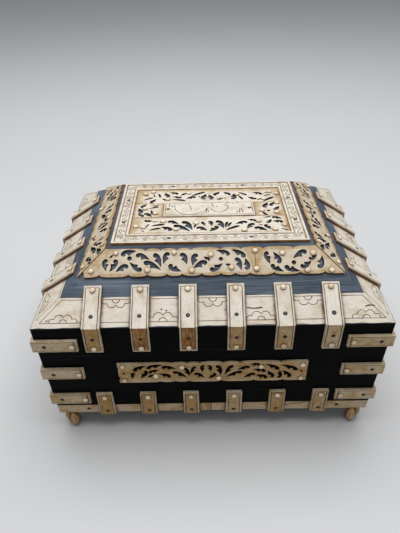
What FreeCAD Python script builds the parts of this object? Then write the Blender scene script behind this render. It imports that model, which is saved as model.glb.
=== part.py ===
"""Hip-roofed casket: black boards under bone bands, straps and fretwork, with a lid hinged at the back.

The origin is on the table under the middle of the box. X runs along the front, Y to the back, Z up.
"""
import FreeCAD, Part
import os

import Sketcher

Vector = FreeCAD.Vector
Rotation = FreeCAD.Rotation
Placement = FreeCAD.Placement
UP = Vector(0, 0, 1)

# Driving dimensions, in millimetres and degrees
SIZES = {
    # Carcass
    "body_width": 300,
    "body_depth": 241,
    "foot_height": 20,
    "base_height": 84.9,
    "seam_gap": 0.3,
    "skirt_height": 27.2,
    "wall_lean": 1.55,
    "wall_thickness": 10,
    "floor_thickness": 8,
    "lid_rise": 39.5,
    "lid_run": 62,
    "lid_board_thickness": 7,
    "top_thickness": 7,
    # Bone bands let in flush
    "band_thickness": 2.2,
    "plinth_height": 11.2,
    "band_strap_lap": 9.6,
    # Bone straps
    "strap_thickness": 3,
    "lid_strap_width": 15,
    "base_strap_width": 14.5,
    "base_strap_length": 30,
    "strap_fret_gap": 7.4,
    "strap_seam_rise": 1.2,
    "back_seam_rise": 4.8,
    "front_strap_count": 6,
    "side_strap_count": 4,
    "front_corner_gap": 6.2,
    "side_corner_gap": 12,
    "corner_strap_length": 36.5,
    "corner_strap_height": 12.4,
    "corner_plinth_gap": 6,
    "corner_seam_rise": 2.4,
    # Bone fretwork, top frame and plaque
    "fret_thickness": 2,
    "slope_fret_width": 26.2,
    "fret_top_gap": 3.8,
    "fret_joint_offset": 37.8,
    "panel_height": 25,
    "panel_corner_gap": 30,
    "frame_margin": 0.5,
    "frame_width": 14.5,
    "frame_thickness": 2.7,
    "frame_rim": 2.6,
    "frame_field_depth": 0.6,
    "plaque_length": 88,
    "plaque_width": 27,
    "plaque_thickness": 3.2,
    "piece_gap": 0.2,
    # Bone pegs and iron nails
    "peg_head_radius": 2.4,
    "peg_head_height": 1.9,
    "peg_shank_radius": 1.1,
    "nail_radius": 1.45,
    "fastener_depth": 7,
    "fastener_edge": 4.6,
    "corner_nail_edge": 8,
    "fret_end_edge": 6.9,
    "drill_clearance": 0.15,
    # Feet
    "foot_radius": 8,
    "foot_neck_radius": 5.5,
    "foot_pad_radius": 6,
    "foot_end_inset": 12.2,
    "foot_front_inset": 7,
    "spigot_radius": 3,
    "spigot_length": 6,
    "spigot_clearance": 0.1,
    # Hinges
    "hinge_length": 36,
    "hinge_spacing": 150,
    "pin_inset": 2.2,
    "pin_radius": 0.9,
    "pin_clearance": 0.05,
    "knuckle_radius": 2,
    "knuckle_gap": 0.3,
    "leaf_thickness": 1.1,
    "leaf_margin": 0.6,
    "leaf_fit": 0.1,
    "hinge_clearance": 0.3,
    "stop_angle": 100,
    "stop_clearance": 0.25,
    "screw_head_radius": 1.6,
    "screw_head_depth": 0.8,
    "screw_radius": 0.8,
    "screw_length": 7,
}

# Fret pegs along a strip or panel, set by eye: shares of the way from the middle to the last peg at each end,
# and how much further in from the edge than its row each one stands
LONG_LOWER_PEGS = ((-1, 1), (-0.53, 1), (-0.16, 0), (0.17, 2.2), (0.378, 0.8), (0.8, -1.4), (1, -1.8))
LONG_UPPER_PEGS = ((-0.93, -0.4), (-0.36, 0), (0, 2.6), (0.436, -0.6), (0.7, 2.2), (1, 2.5))
SHORT_LOWER_PEGS = ((-1, 0.6), (-0.4, -0.5), (0.35, 1), (1, -0.4))
SHORT_UPPER_PEGS = ((-0.9, 0.4), (0.05, 1.5), (0.9, 0))
PANEL_LOWER_PEGS = ((-1, -1), (-0.64, 4.2), (0.07, 0.6), (1, -1.2))
PANEL_UPPER_PEGS = ((-1, -1.5), (-0.34, 0.2), (0.54, 1.2), (1, -0.3))

# Fret pegs of the long top plates: shares of half their length, and of the way from the plaque to the frame
TOP_FRONT_PEGS = ((-0.93, 0.56), (-0.836, 0.62), (-0.592, 0.27), (-0.423, 0.77), (-0.17, 0.41), (0.427, 0.88),
                  (0.625, 0.36), (0.812, 0.85), (0.94, 0.61))
TOP_BACK_PEGS = ((-0.88, 0.67), (-0.773, 0.8), (-0.56, 0.27), (-0.274, 0.7), (0.4, 0.55), (0.756, 0.19),
                 (0.859, 0.69), (0.95, 0.55))

# Fret pegs of the plates beside the plaque: shares of the way from it to the frame, and of half its depth
TOP_LEFT_PEGS = ((0.28, 0.75), (0.63, 0.21), (0.26, -0.5))
TOP_RIGHT_PEGS = ((0.81, 0.78), (0.25, -0.31), (0.71, -0.61))

# Levels of the foot's outline, as shares of its height
FOOT_TOE = 0.2
FOOT_ANKLE = 0.45
FOOT_NECK = 0.7
FOOT_COLLAR = 0.9

# Each hinge has three knuckles, and a screw on each side of its middle at this share of its length
KNUCKLE_COUNT = 3
SCREW_SHARE = 0.33

doc = FreeCAD.newDocument("Casket")
sheet = doc.addObject("Spreadsheet::Sheet", "Sizes")
for row, (alias, size) in enumerate(SIZES.items(), start=1):
    sheet.set(f"A{row}", alias)
    sheet.set(f"B{row}", str(size))
    sheet.setAlias(f"B{row}", alias)
doc.recompute()

# Sizes worked out from the sheet, as expressions
HALF_WIDTH = "(Sizes.body_width / 2)"
HALF_DEPTH = "(Sizes.body_depth / 2)"
FLOOR_TOP = "(Sizes.foot_height + Sizes.floor_thickness)"
PLINTH_TOP = "(Sizes.foot_height + Sizes.plinth_height)"
PLINTH_MIDDLE = "(Sizes.foot_height + Sizes.plinth_height / 2)"
SEAM_LOW = "(Sizes.foot_height + Sizes.base_height)"
SEAM_HIGH = f"({SEAM_LOW} + Sizes.seam_gap)"
EAVE = f"({SEAM_HIGH} + Sizes.skirt_height)"
TOP_LOW = f"({EAVE} + Sizes.lid_rise - Sizes.top_thickness)"
TOP_HIGH = f"({EAVE} + Sizes.lid_rise)"
SLOPE = "atan(Sizes.lid_rise / Sizes.lid_run)"
SLOPE_LENGTH = "sqrt(Sizes.lid_rise ^ 2 + Sizes.lid_run ^ 2)"
FRET_HIGH = f"({SLOPE_LENGTH} - Sizes.fret_top_gap)"
FRET_LOW = f"({FRET_HIGH} - Sizes.slope_fret_width)"
STRAP_END = f"({FRET_LOW} - Sizes.strap_fret_gap)"
BAND_END = f"({STRAP_END} - Sizes.band_strap_lap)"
BAND_NAILS = f"({BAND_END} / 3)"
STRAP_TOP = "(Sizes.foot_height + Sizes.base_strap_length)"
PANEL_MIDDLE = f"(({STRAP_TOP} + {SEAM_LOW}) / 2)"
PANEL_LOW = f"({PANEL_MIDDLE} - Sizes.panel_height / 2)"
PANEL_HIGH = f"({PANEL_MIDDLE} + Sizes.panel_height / 2)"
CORNER_LOW = f"({PLINTH_TOP} + Sizes.corner_plinth_gap)"
CORNER_LID = f"({SEAM_HIGH} + Sizes.corner_seam_rise)"
CORNER_MIDDLE = f"(({CORNER_LOW} + {CORNER_LID}) / 2)"
FRAME_OUTER = "(Sizes.lid_run + Sizes.frame_margin)"
FRAME_INNER = f"({FRAME_OUTER} + Sizes.frame_width)"
AXIS_LEVEL = f"({SEAM_LOW} + Sizes.seam_gap / 2)"
AXIS_INSET = f"(({EAVE} - {AXIS_LEVEL}) * tan(Sizes.wall_lean) + Sizes.pin_inset)"

# Each side: its turn about Z from the front, half its length, and its distance from the middle
SIDES = {
    "front": (0, HALF_WIDTH, HALF_DEPTH),
    "right": (90, HALF_DEPTH, HALF_WIDTH),
    "back": (180, HALF_WIDTH, HALF_DEPTH),
    "left": (270, HALF_DEPTH, HALF_WIDTH),
}
LONG_SIDES = ("front", "back")


def number(expression):
    """The value that an expression has now."""
    value = sheet.evalExpression(expression)
    return float(getattr(value, "Value", value))


def strap_count(side):
    return "Sizes.front_strap_count" if side in LONG_SIDES else "Sizes.side_strap_count"


def strap_pitch(side):
    """Straps spread evenly between the corner straps of a side."""
    half = SIDES[side][1]
    gap = "Sizes.front_corner_gap" if side in LONG_SIDES else "Sizes.side_corner_gap"
    spread = f"2 * ({half} - Sizes.corner_strap_length - {gap}) - Sizes.lid_strap_width"
    return f"(({spread}) / ({strap_count(side)} - 1))"


def strap_foot(side):
    """Level of the lid straps' lower ends above the seam, higher at the back so that the lid can swing."""
    rise = "Sizes.back_seam_rise" if side == "back" else "Sizes.strap_seam_rise"
    return f"({SEAM_HIGH} + {rise})"


def lid_corner_level(side):
    """Level of the lid's corner straps, the same as the other straps at the back."""
    return strap_foot(side) if side == "back" else CORNER_LID


def lean(level):
    """How far the outside of the wall stands inside the eave at a level."""
    return f"(({EAVE} - ({level})) * tan(Sizes.wall_lean))"


def on_wall(level, out="0"):
    """A section point at a level of the wall, out from its face: inset from the eave, and height."""
    return f"{lean(level)} - ({out}) * cos(Sizes.wall_lean)", f"{level} - ({out}) * sin(Sizes.wall_lean)"


def on_slope(along, out="0"):
    """A section point up the slope from the eave, out from its face: inset from the eave, and height."""
    inset = f"({along}) * cos({SLOPE}) - ({out}) * sin({SLOPE})"
    return inset, f"{EAVE} + ({along}) * sin({SLOPE}) + ({out}) * cos({SLOPE})"


def new_body(label, turn=0):
    body = doc.addObject("PartDesign::Body", label)
    body.Label = label
    body.Placement = Placement(Vector(), Rotation(UP, turn))
    return body


def origin_plane(body, role):
    return next(feature for feature in body.Origin.OriginFeatures if feature.Role == role)


def polygons(body, role, loops, offset=None):
    """A sketch of straight-sided closed loops on an origin plane, with every corner set by expressions."""
    sketch = body.newObject("Sketcher::SketchObject", body.Name + "Sketch")
    sketch.AttachmentSupport = [(origin_plane(body, role), "")]
    sketch.MapMode = "FlatFace"
    if offset:
        sketch.setExpression("AttachmentOffset.Base.z", offset)
    for loop in loops:
        corners = [Vector(number(x), number(y), 0) for x, y in loop]
        first = sketch.GeometryCount
        for index, corner in enumerate(corners):
            sketch.addGeometry(Part.LineSegment(corner, corners[(index + 1) % len(corners)]), False)
        for index, (x, y) in enumerate(loop):
            line = first + index
            following = first + (index + 1) % len(loop)
            sketch.addConstraint(Sketcher.Constraint("Coincident", line, 2, following, 1))
            corner = corners[index]
            for kind, size, expression in (("DistanceX", corner.x, x), ("DistanceY", corner.y, y)):
                constraint = sketch.addConstraint(Sketcher.Constraint(kind, -1, 1, line, 1, size))
                sketch.setExpression(f"Constraints[{constraint}]", expression)
    return sketch


def pad(body, sketch, length, symmetric=False):
    feature = body.newObject("PartDesign::Pad", body.Name + "Pad")
    feature.Profile = sketch
    feature.SideType = "Symmetric" if symmetric else "One side"
    feature.setExpression("Length", length)
    return feature


def section(side, profile):
    """A section given as inset and height, in the coordinates of a sketch across that side."""
    distance = SIDES[side][2]
    return [(f"{inset} - {distance}", level) for inset, level in profile]


def rectangle(left, right, low, high):
    return [(left, low), (right, low), (right, high), (left, high)]


def bar(label, side, profile, hip_gap="0"):
    """A bar along one side with a given section, mitred at both corners of the box."""
    turn, half, distance = SIDES[side]
    body = new_body(label, turn)
    sketch = polygons(body, "YZ_Plane", [section(side, profile)])
    pad(body, sketch, f"2 * {half}", symmetric=True)
    margin = "Sizes.wall_thickness"
    reach = f"({FRAME_INNER} + {margin})"
    waste = []
    for sign in ("", "-"):
        waste.append([
            (f"{sign}({half} + {margin} - {hip_gap})", f"-({distance} + {margin})"),
            (f"{sign}({half} - {reach} - {hip_gap})", f"-({distance} - {reach})"),
            (f"{sign}({half} + {margin})", f"-({distance} - {reach})"),
        ])
    mitre = body.newObject("PartDesign::Pocket", label + "Mitre")
    mitre.Profile = polygons(body, "XY_Plane", waste)
    mitre.Type = "ThroughAll"
    mitre.Reversed = True
    return body


def straps(label, side, profile, width):
    """A row of equal straps on one side, spread evenly between its corner straps."""
    body = new_body(label, SIDES[side][0])
    count = strap_count(side)
    row_length = f"({count} - 1) * {strap_pitch(side)}"
    sketch = polygons(body, "YZ_Plane", [section(side, profile)], f"-({row_length}) / 2")
    first = pad(body, sketch, width, symmetric=True)
    row = body.newObject("PartDesign::LinearPattern", label + "Row")
    row.Originals = [first]
    row.Direction = (sketch, ["N_Axis"])
    row.setExpression("Length", row_length)
    row.setExpression("Occurrences", count)
    body.Tip = row
    return body


def corner_straps(label, side, levels):
    """Straps at both ends of one wall; those of the long sides lap over the ends of the others."""
    turn, half, _ = SIDES[side]
    body = new_body(label, turn)
    inner = f"({half} - Sizes.corner_strap_length)"
    thickness = "Sizes.strap_thickness"
    pads = []
    for level in levels:
        high = f"({level} + Sizes.corner_strap_height)"
        profile = [on_wall(level), on_wall(high), on_wall(high, thickness), on_wall(level, thickness)]
        outer = f"({half} - {lean(level)} - Sizes.piece_gap)"
        if side in LONG_SIDES:
            outer = f"({half} - {lean(level)} + {thickness})"
        sketch = polygons(body, "YZ_Plane", [section(side, profile)], inner)
        pads.append(pad(body, sketch, f"{outer} - {inner}"))
    mirror = body.newObject("PartDesign::Mirrored", label + "Mirror")
    mirror.Originals = pads
    mirror.MirrorPlane = (origin_plane(body, "YZ_Plane"), [""])
    body.Tip = mirror
    return body


def plank(label, low, high, extra_inset="0"):
    """A full plank between two levels: each is a height and the inset of its edge from the eave."""
    body = new_body(label)
    sketches = []
    for level, inset in (low, high):
        half_x = f"({HALF_WIDTH} - {inset} - {extra_inset})"
        half_y = f"({HALF_DEPTH} - {inset} - {extra_inset})"
        outline = rectangle(f"-{half_x}", half_x, f"-{half_y}", half_y)
        sketches.append(polygons(body, "XY_Plane", [outline], level))
    loft = body.newObject("PartDesign::AdditiveLoft", label + "Loft")
    loft.Profile = sketches[0]
    loft.Sections = sketches[1:]
    loft.Ruled = True
    return body


def group(label, members):
    """Several like pieces kept as one node."""
    compound = doc.addObject("Part::Compound", label)
    compound.Label = label
    compound.Links = members
    return compound


def cut(label, base, tools):
    """The piece that is left of a blank when its joints and holes are cut."""
    base.Label = label + "_blank"
    piece = doc.addObject("Part::Cut", label)
    piece.Label = label
    piece.Base = base
    piece.Tool = tools[0] if len(tools) == 1 else group(label + "_tools", tools)
    return piece


# Fasteners

def turned(outline):
    """A solid turned about Z from points of radius and height; a middle point makes its stretch an arc."""
    edges = []
    for start, middle, end in outline:
        points = [Vector(radius, 0, height) for radius, height in (start, end)]
        if middle:
            edges.append(Part.Arc(points[0], Vector(middle[0], 0, middle[1]), points[1]).toShape())
        else:
            edges.append(Part.LineSegment(*points).toShape())
    return Part.Face(Part.Wire(edges)).revolve(Vector(), UP, 360)


def peg_solid():
    """A bone peg with a domed head; its origin is on the plate that it holds."""
    head = sheet.peg_head_radius
    height = sheet.peg_head_height
    shank = sheet.peg_shank_radius
    depth = -sheet.fastener_depth
    dome_radius = (head ** 2 + height ** 2) / (2 * height)
    shoulder_height = height / 2
    shoulder = (dome_radius ** 2 - (dome_radius - height + shoulder_height) ** 2) ** 0.5
    return turned([
        ((0, depth), None, (shank, depth)),
        ((shank, depth), None, (shank, 0)),
        ((shank, 0), None, (head, 0)),
        ((head, 0), (shoulder, shoulder_height), (0, height)),
        ((0, height), None, (0, depth)),
    ])


def nail_solid():
    return Part.makeCylinder(sheet.nail_radius, sheet.fastener_depth, Vector(0, 0, -sheet.fastener_depth))


def drill_solid(radius):
    """The hole for a peg or nail, begun a little above the plate."""
    clearance = sheet.drill_clearance
    length = sheet.fastener_depth + 2 * clearance
    return Part.makeCylinder(radius + clearance, length, Vector(0, 0, -length + clearance))


def screw_solid(clearance=0):
    """A countersunk screw whose head is level with its leaf, or the hole for it."""
    head = sheet.screw_head_radius + clearance
    neck = sheet.screw_radius + clearance
    neck_height = -sheet.screw_head_depth
    end = -sheet.screw_length - clearance
    points = [(0, end), (neck, end), (neck, neck_height), (head, 0), (0, 0)]
    return turned([(start, None, stop) for start, stop in zip(points, points[1:] + points[:1])])


def site(side, along, point, tilt):
    """The place of a fastener: its distance along a side, its section point, and the tilt of its face."""
    turn, _, distance = SIDES[side]
    spin = Rotation(UP, turn)
    local = Vector(along, number(point[0]) - number(distance), number(point[1]))
    return Placement(spin.multVec(local), spin.multiply(Rotation(Vector(1, 0, 0), tilt)))


def wall_site(side, along, level, out):
    return site(side, along, on_wall(level, out), 90 + sheet.wall_lean)


def slope_site(side, along, up, out):
    return site(side, along, on_slope(up, out), number(SLOPE))


def top_site(x, y, out):
    return Placement(Vector(x, y, number(TOP_HIGH) + out), Rotation())


def strap_lines(side):
    """The centre lines of a side's straps."""
    count = int(number(strap_count(side)))
    pitch = number(strap_pitch(side))
    return [(index - (count - 1) / 2) * pitch for index in range(count)]


def corner_sites(side, levels):
    """Pegs near the inner ends of a wall's corner straps and nails near the corner, on their middle lines."""
    half = number(SIDES[side][1])
    pegs = []
    nails = []
    for level in levels:
        middle = f"({level} + Sizes.corner_strap_height / 2)"
        for sign in (-1, 1):
            inner = sign * (half - sheet.corner_strap_length + sheet.fastener_edge)
            outer = sign * (half - number(lean(middle)) - sheet.corner_nail_edge)
            pegs.append(wall_site(side, inner, middle, "Sizes.strap_thickness"))
            nails.append(wall_site(side, outer, middle, "Sizes.strap_thickness"))
    return pegs, nails


def lid_sites(side):
    """Pegs and nails of one side of the lid."""
    half = number(SIDES[side][1])
    thickness = "Sizes.strap_thickness"
    pegs, nails = corner_sites(side, [lid_corner_level(side)])
    for line in strap_lines(side):
        pegs.append(slope_site(side, line, f"{STRAP_END} - Sizes.fastener_edge", thickness))
        nails.append(slope_site(side, line, BAND_NAILS, thickness))
        lower_end = f"({strap_foot(side)} + Sizes.fastener_edge)"
        pegs.append(wall_site(side, line, lower_end, thickness))
        nails.append(wall_site(side, line, f"(({lower_end} + {EAVE}) / 2)", thickness))
    lower_shares, upper_shares = SHORT_LOWER_PEGS, SHORT_UPPER_PEGS
    if side in LONG_SIDES:
        lower_shares, upper_shares = LONG_LOWER_PEGS, LONG_UPPER_PEGS
    for row, way, shares in ((f"{FRET_LOW} + Sizes.fastener_edge", "+", lower_shares),
                             (f"{FRET_HIGH} - Sizes.fastener_edge", "-", upper_shares)):
        reach = half - number(on_slope(row)[0]) - sheet.fret_end_edge
        for share, inward in shares:
            pegs.append(slope_site(side, share * reach, f"{row} {way} ({inward})", "Sizes.fret_thickness"))
    return pegs, nails


def top_sites():
    """Pegs of the top fretwork, and nails of the frame and the plaque."""
    edge = sheet.fastener_edge
    half_x = number(f"{HALF_WIDTH} - {FRAME_INNER}")
    half_y = number(f"{HALF_DEPTH} - {FRAME_INNER}")
    end_x = sheet.plaque_length / 2
    end_y = sheet.plaque_width / 2
    fret = sheet.fret_thickness
    field = sheet.frame_thickness - sheet.frame_field_depth
    frame_line = sheet.frame_width / 2
    pegs = []
    nails = []
    for sign, row, side_row in ((-1, TOP_FRONT_PEGS, TOP_LEFT_PEGS), (1, TOP_BACK_PEGS, TOP_RIGHT_PEGS)):
        for share, across in row:
            pegs.append(top_site(share * half_x, sign * (end_y + across * (half_y - end_y)), fret))
        for across, deep in side_row:
            pegs.append(top_site(sign * (end_x + across * (half_x - end_x)), deep * end_y, fret))
        nails.append(top_site(sign * (end_x - edge), 0, sheet.plaque_thickness))
        for along in (-1, 1):
            nails.append(top_site(along * half_x / 2, sign * (half_y + frame_line), field))
            nails.append(top_site(sign * (half_x + frame_line), along * half_y / 2, field))
    return pegs, nails


def base_sites(side):
    """Pegs and nails of one side of the base."""
    half = number(SIDES[side][1])
    thickness = "Sizes.strap_thickness"
    pegs, nails = corner_sites(side, [CORNER_LOW, CORNER_MIDDLE])
    for line in strap_lines(side):
        pegs.append(wall_site(side, line, f"({STRAP_TOP} - Sizes.fastener_edge)", thickness))
        nails.append(wall_site(side, line, PLINTH_MIDDLE, thickness))
    for sign in (-1, 1):
        end = sign * (half - sheet.corner_strap_length + sheet.fastener_edge)
        nails.append(wall_site(side, end, PLINTH_MIDDLE, "0"))
    reach = half - sheet.corner_strap_length - sheet.panel_corner_gap - sheet.fastener_edge
    for row, way, shares in ((f"{PANEL_LOW} + Sizes.fastener_edge", "+", PANEL_LOWER_PEGS),
                             (f"{PANEL_HIGH} - Sizes.fastener_edge", "-", PANEL_UPPER_PEGS)):
        for share, inward in shares:
            pegs.append(wall_site(side, share * reach, f"({row} {way} ({inward}))", "Sizes.fret_thickness"))
    return pegs, nails


def solids(label, shape, sites):
    """One solid at each site, as a group."""
    feature = doc.addObject("Part::Feature", label)
    feature.Label = label
    feature.Shape = Part.makeCompound([shape.transformed(place.toMatrix(), True) for place in sites])
    feature.Placement = Placement()
    return feature


def drills(label, sites):
    pegs, nails = sites
    holes = [drill_solid(sheet.peg_shank_radius).transformed(place.toMatrix(), True) for place in pegs]
    holes += [drill_solid(sheet.nail_radius).transformed(place.toMatrix(), True) for place in nails]
    feature = doc.addObject("Part::Feature", label)
    feature.Shape = Part.makeCompound(holes)
    feature.Placement = Placement()
    return feature


# Hinges

def placed(feature, x, y, z, turn=None):
    """Bind a primitive's place to expressions, with an optional rotation."""
    spin = turn or "create(<<rotation>>; 0; 0; 0)"
    feature.setExpression("Placement", f"create(<<placement>>; create(<<vector>>; {x}; {y}; {z}); {spin})")
    return feature


def box(label, x_span, y_span, z_span):
    """A block between three pairs of expressions."""
    feature = doc.addObject("Part::Box", label)
    for name, (low, high) in (("Length", x_span), ("Width", y_span), ("Height", z_span)):
        feature.setExpression(name, f"{high} - ({low})")
    return placed(feature, x_span[0], y_span[0], z_span[0])


def rod(label, radius, x_span):
    """A round bar on the hinge axis between two places along it."""
    feature = doc.addObject("Part::Cylinder", label)
    feature.setExpression("Radius", radius)
    feature.setExpression("Height", f"{x_span[1]} - ({x_span[0]})")
    return placed(feature, x_span[0], AXIS_Y, AXIS_LEVEL, "create(<<rotation>>; 0; 90; 0)")


AXIS_Y = f"({HALF_DEPTH} - {AXIS_INSET})"
HINGES = (("left", "-Sizes.hinge_spacing / 2"), ("right", "Sizes.hinge_spacing / 2"))
HALF_HINGE = "Sizes.hinge_length / 2"
KNUCKLE_LENGTH = f"((Sizes.hinge_length - {KNUCKLE_COUNT - 1} * Sizes.knuckle_gap) / {KNUCKLE_COUNT})"
LEAF_EDGE = f"{AXIS_Y} - Sizes.knuckle_radius - Sizes.hinge_clearance"
LEAF_BACK = f"{AXIS_Y} + Sizes.pin_inset - Sizes.wall_thickness + Sizes.leaf_margin"
LEAF_LEVELS = {
    "base": (f"{SEAM_LOW} - Sizes.leaf_thickness", SEAM_LOW),
    "lid": (SEAM_HIGH, f"{SEAM_HIGH} + Sizes.leaf_thickness"),
}


def knuckle_spans(owner, centre):
    """The base leaf carries the two outer knuckles and the lid leaf the middle one."""
    half = f"({KNUCKLE_LENGTH} / 2)"
    if owner == "lid":
        return [(f"{centre} - {half}", f"{centre} + {half}")]
    inner = f"({half} + Sizes.knuckle_gap)"
    return [
        (f"{centre} - {HALF_HINGE}", f"{centre} - {inner}"),
        (f"{centre} + {inner}", f"{centre} + {HALF_HINGE}"),
    ]


def hinge_leaf(owner, name, centre, screw_holes):
    """A flat leaf with knuckles on the pin's axis, bored for the pin and drilled for its screws."""
    label = f"{owner}_leaf_{name}"
    levels = LEAF_LEVELS[owner]
    plate_span = (f"{centre} - {HALF_HINGE}", f"{centre} + {HALF_HINGE}")
    solid_parts = [box(label + "_plate", plate_span, (LEAF_BACK, LEAF_EDGE), levels)]
    for index, span in enumerate(knuckle_spans(owner, centre)):
        tongue = (f"{LEAF_EDGE} - Sizes.leaf_thickness", AXIS_Y)
        solid_parts.append(box(f"{label}_tongue_{index}", span, tongue, levels))
        solid_parts.append(rod(f"{label}_knuckle_{index}", "Sizes.knuckle_radius", span))
    blank = doc.addObject("Part::MultiFuse", label + "_fuse")
    blank.Shapes = solid_parts
    bore = rod(label + "_bore", "Sizes.pin_radius + Sizes.pin_clearance", plate_span)
    return cut(label, blank, [bore, screw_holes])


def hinge_screw_sites(owner):
    """Two screws in each leaf, heads level with the seam face of their leaf."""
    level = number(SEAM_LOW if owner == "base" else SEAM_HIGH)
    spin = Rotation() if owner == "base" else Rotation(Vector(1, 0, 0), 180)
    y = (number(LEAF_EDGE) + number(LEAF_BACK)) / 2
    places = []
    for _, centre in HINGES:
        for sign in (-1, 1):
            x = number(centre) + sign * SCREW_SHARE * sheet.hinge_length
            places.append(Placement(Vector(x, y, level), spin))
    return places


def hinge_seats(owner):
    """The recesses that let one leaf and the knuckles of each hinge into a back board."""
    fit = "Sizes.leaf_fit"
    low, high = LEAF_LEVELS[owner]
    levels = (f"{low} - {fit}", AXIS_LEVEL) if owner == "base" else (AXIS_LEVEL, f"{high} + {fit}")
    seats = []
    for name, centre in HINGES:
        span = (f"{centre} - {HALF_HINGE} - {fit}", f"{centre} + {HALF_HINGE} + {fit}")
        seats.append(box(f"{owner}_seat_{name}", span, (f"{LEAF_BACK} - {fit}", AXIS_Y), levels))
        groove_radius = "Sizes.knuckle_radius + Sizes.hinge_clearance"
        seats.append(rod(f"{owner}_groove_{name}", groove_radius, span))
    return seats


def back_groove():
    """The V along the back of the seam whose faces meet when the lid is fully open."""
    body = new_body("back_groove")
    reach = "(Sizes.pin_inset + Sizes.wall_thickness)"
    rise = f"{reach} * tan(Sizes.stop_angle / 2)"
    root = f"{AXIS_Y} - Sizes.stop_clearance"
    vee = [(root, AXIS_LEVEL), (f"{root} + {reach}", f"{AXIS_LEVEL} - {rise}"),
           (f"{root} + {reach}", f"{AXIS_LEVEL} + {rise}")]
    pad(body, polygons(body, "YZ_Plane", [vee]), "2 * Sizes.body_width", symmetric=True)
    return body


# Sections of the mitred boards and bands

BAND = "Sizes.band_thickness"
BAND_FOOT = f"{BAND} / sin({SLOPE})"
BOARD_FOOT = f"Sizes.lid_board_thickness / sin({SLOPE})"
TOP_RUN = f"(({TOP_LOW} - {EAVE}) / tan({SLOPE}))"
WALL = "Sizes.wall_thickness"
BASE_WALL = [
    (f"{lean(FLOOR_TOP)} + {BAND}", FLOOR_TOP), (f"{lean(PLINTH_TOP)} + {BAND}", PLINTH_TOP),
    (lean(PLINTH_TOP), PLINTH_TOP), (lean(SEAM_LOW), SEAM_LOW),
    (f"{lean(SEAM_LOW)} + {WALL}", SEAM_LOW), (f"{lean(FLOOR_TOP)} + {WALL}", FLOOR_TOP),
]
PLINTH_BAND = [
    (lean("Sizes.foot_height"), "Sizes.foot_height"), (lean(PLINTH_TOP), PLINTH_TOP),
    (f"{lean(PLINTH_TOP)} + {BAND}", PLINTH_TOP),
    (f"{lean('Sizes.foot_height')} + {BAND}", "Sizes.foot_height"),
]
SKIRT = [(lean(SEAM_HIGH), SEAM_HIGH), ("0", EAVE), (WALL, EAVE), (f"{lean(SEAM_HIGH)} + {WALL}", SEAM_HIGH)]
SLOPE_BOARD = [
    (BAND_FOOT, EAVE), on_slope(BAND_END, f"-{BAND}"), on_slope(BAND_END),
    (TOP_RUN, TOP_LOW), (f"{TOP_RUN} + {BOARD_FOOT}", TOP_LOW), (BOARD_FOOT, EAVE),
]
EAVE_BAND = [("0", EAVE), on_slope(BAND_END), on_slope(BAND_END, f"-{BAND}"), (BAND_FOOT, EAVE)]
SLOPE_FRET = [
    on_slope(FRET_LOW), on_slope(FRET_HIGH),
    on_slope(FRET_HIGH, "Sizes.fret_thickness"), on_slope(FRET_LOW, "Sizes.fret_thickness"),
]
FRAME_TOP = f"({TOP_HIGH} + Sizes.frame_thickness)"
FIELD_TOP = f"({FRAME_TOP} - Sizes.frame_field_depth)"
FRAME_BAR = [
    (FRAME_OUTER, TOP_HIGH), (FRAME_OUTER, FRAME_TOP),
    (f"{FRAME_OUTER} + Sizes.frame_rim", FRAME_TOP), (f"{FRAME_OUTER} + Sizes.frame_rim", FIELD_TOP),
    (f"{FRAME_INNER} - Sizes.frame_rim", FIELD_TOP), (f"{FRAME_INNER} - Sizes.frame_rim", FRAME_TOP),
    (FRAME_INNER, FRAME_TOP), (FRAME_INNER, TOP_HIGH),
]

# Sections of the straps; a slope strap and its skirt strap meet at the eave in a mitre
STRAP = "Sizes.strap_thickness"
FOLD = f"({SLOPE} - Sizes.wall_lean * 1 deg)"
MITRE = f"({STRAP} * (1 - sin({FOLD})) / cos({FOLD}))"
SLOPE_STRAP = [
    on_slope("0"), on_slope(STRAP_END), on_slope(STRAP_END, STRAP), on_slope(f"-{MITRE}", STRAP),
]
BASE_STRAP = [
    on_wall("Sizes.foot_height"), on_wall(STRAP_TOP),
    on_wall(STRAP_TOP, STRAP), on_wall("Sizes.foot_height", STRAP),
]
PANEL = [
    on_wall(PANEL_LOW), on_wall(PANEL_HIGH),
    on_wall(PANEL_HIGH, "Sizes.fret_thickness"), on_wall(PANEL_LOW, "Sizes.fret_thickness"),
]


def skirt_strap(side):
    """The section of a lid strap below the eave, down to just above the seam."""
    low = strap_foot(side)
    shoulder = f"({EAVE} + {MITRE} * cos(Sizes.wall_lean))"
    return [("0", EAVE), on_wall(shoulder, STRAP), on_wall(low, STRAP), on_wall(low)]


def fret_panel(label, side):
    """A pierced panel in the middle of a base wall."""
    turn, half, _ = SIDES[side]
    body = new_body(label, turn)
    length = f"2 * ({half} - Sizes.corner_strap_length - Sizes.panel_corner_gap)"
    pad(body, polygons(body, "YZ_Plane", [section(side, PANEL)]), length, symmetric=True)
    return body


def slope_fret(label, side):
    """A fret strip high on a slope; a long one is pieced from two lengths of bone."""
    body = bar(label, side, SLOPE_FRET, hip_gap="Sizes.piece_gap")
    if side in LONG_SIDES:
        distance = SIDES[side][2]
        slot = rectangle(
            "Sizes.fret_joint_offset - Sizes.piece_gap / 2", "Sizes.fret_joint_offset + Sizes.piece_gap / 2",
            f"-{distance}", f"-({distance} - {FRAME_INNER})")
        joint = body.newObject("PartDesign::Pocket", label + "Joint")
        joint.Profile = polygons(body, "XY_Plane", [slot])
        joint.Type = "ThroughAll"
        joint.Reversed = True
    return body


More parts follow.
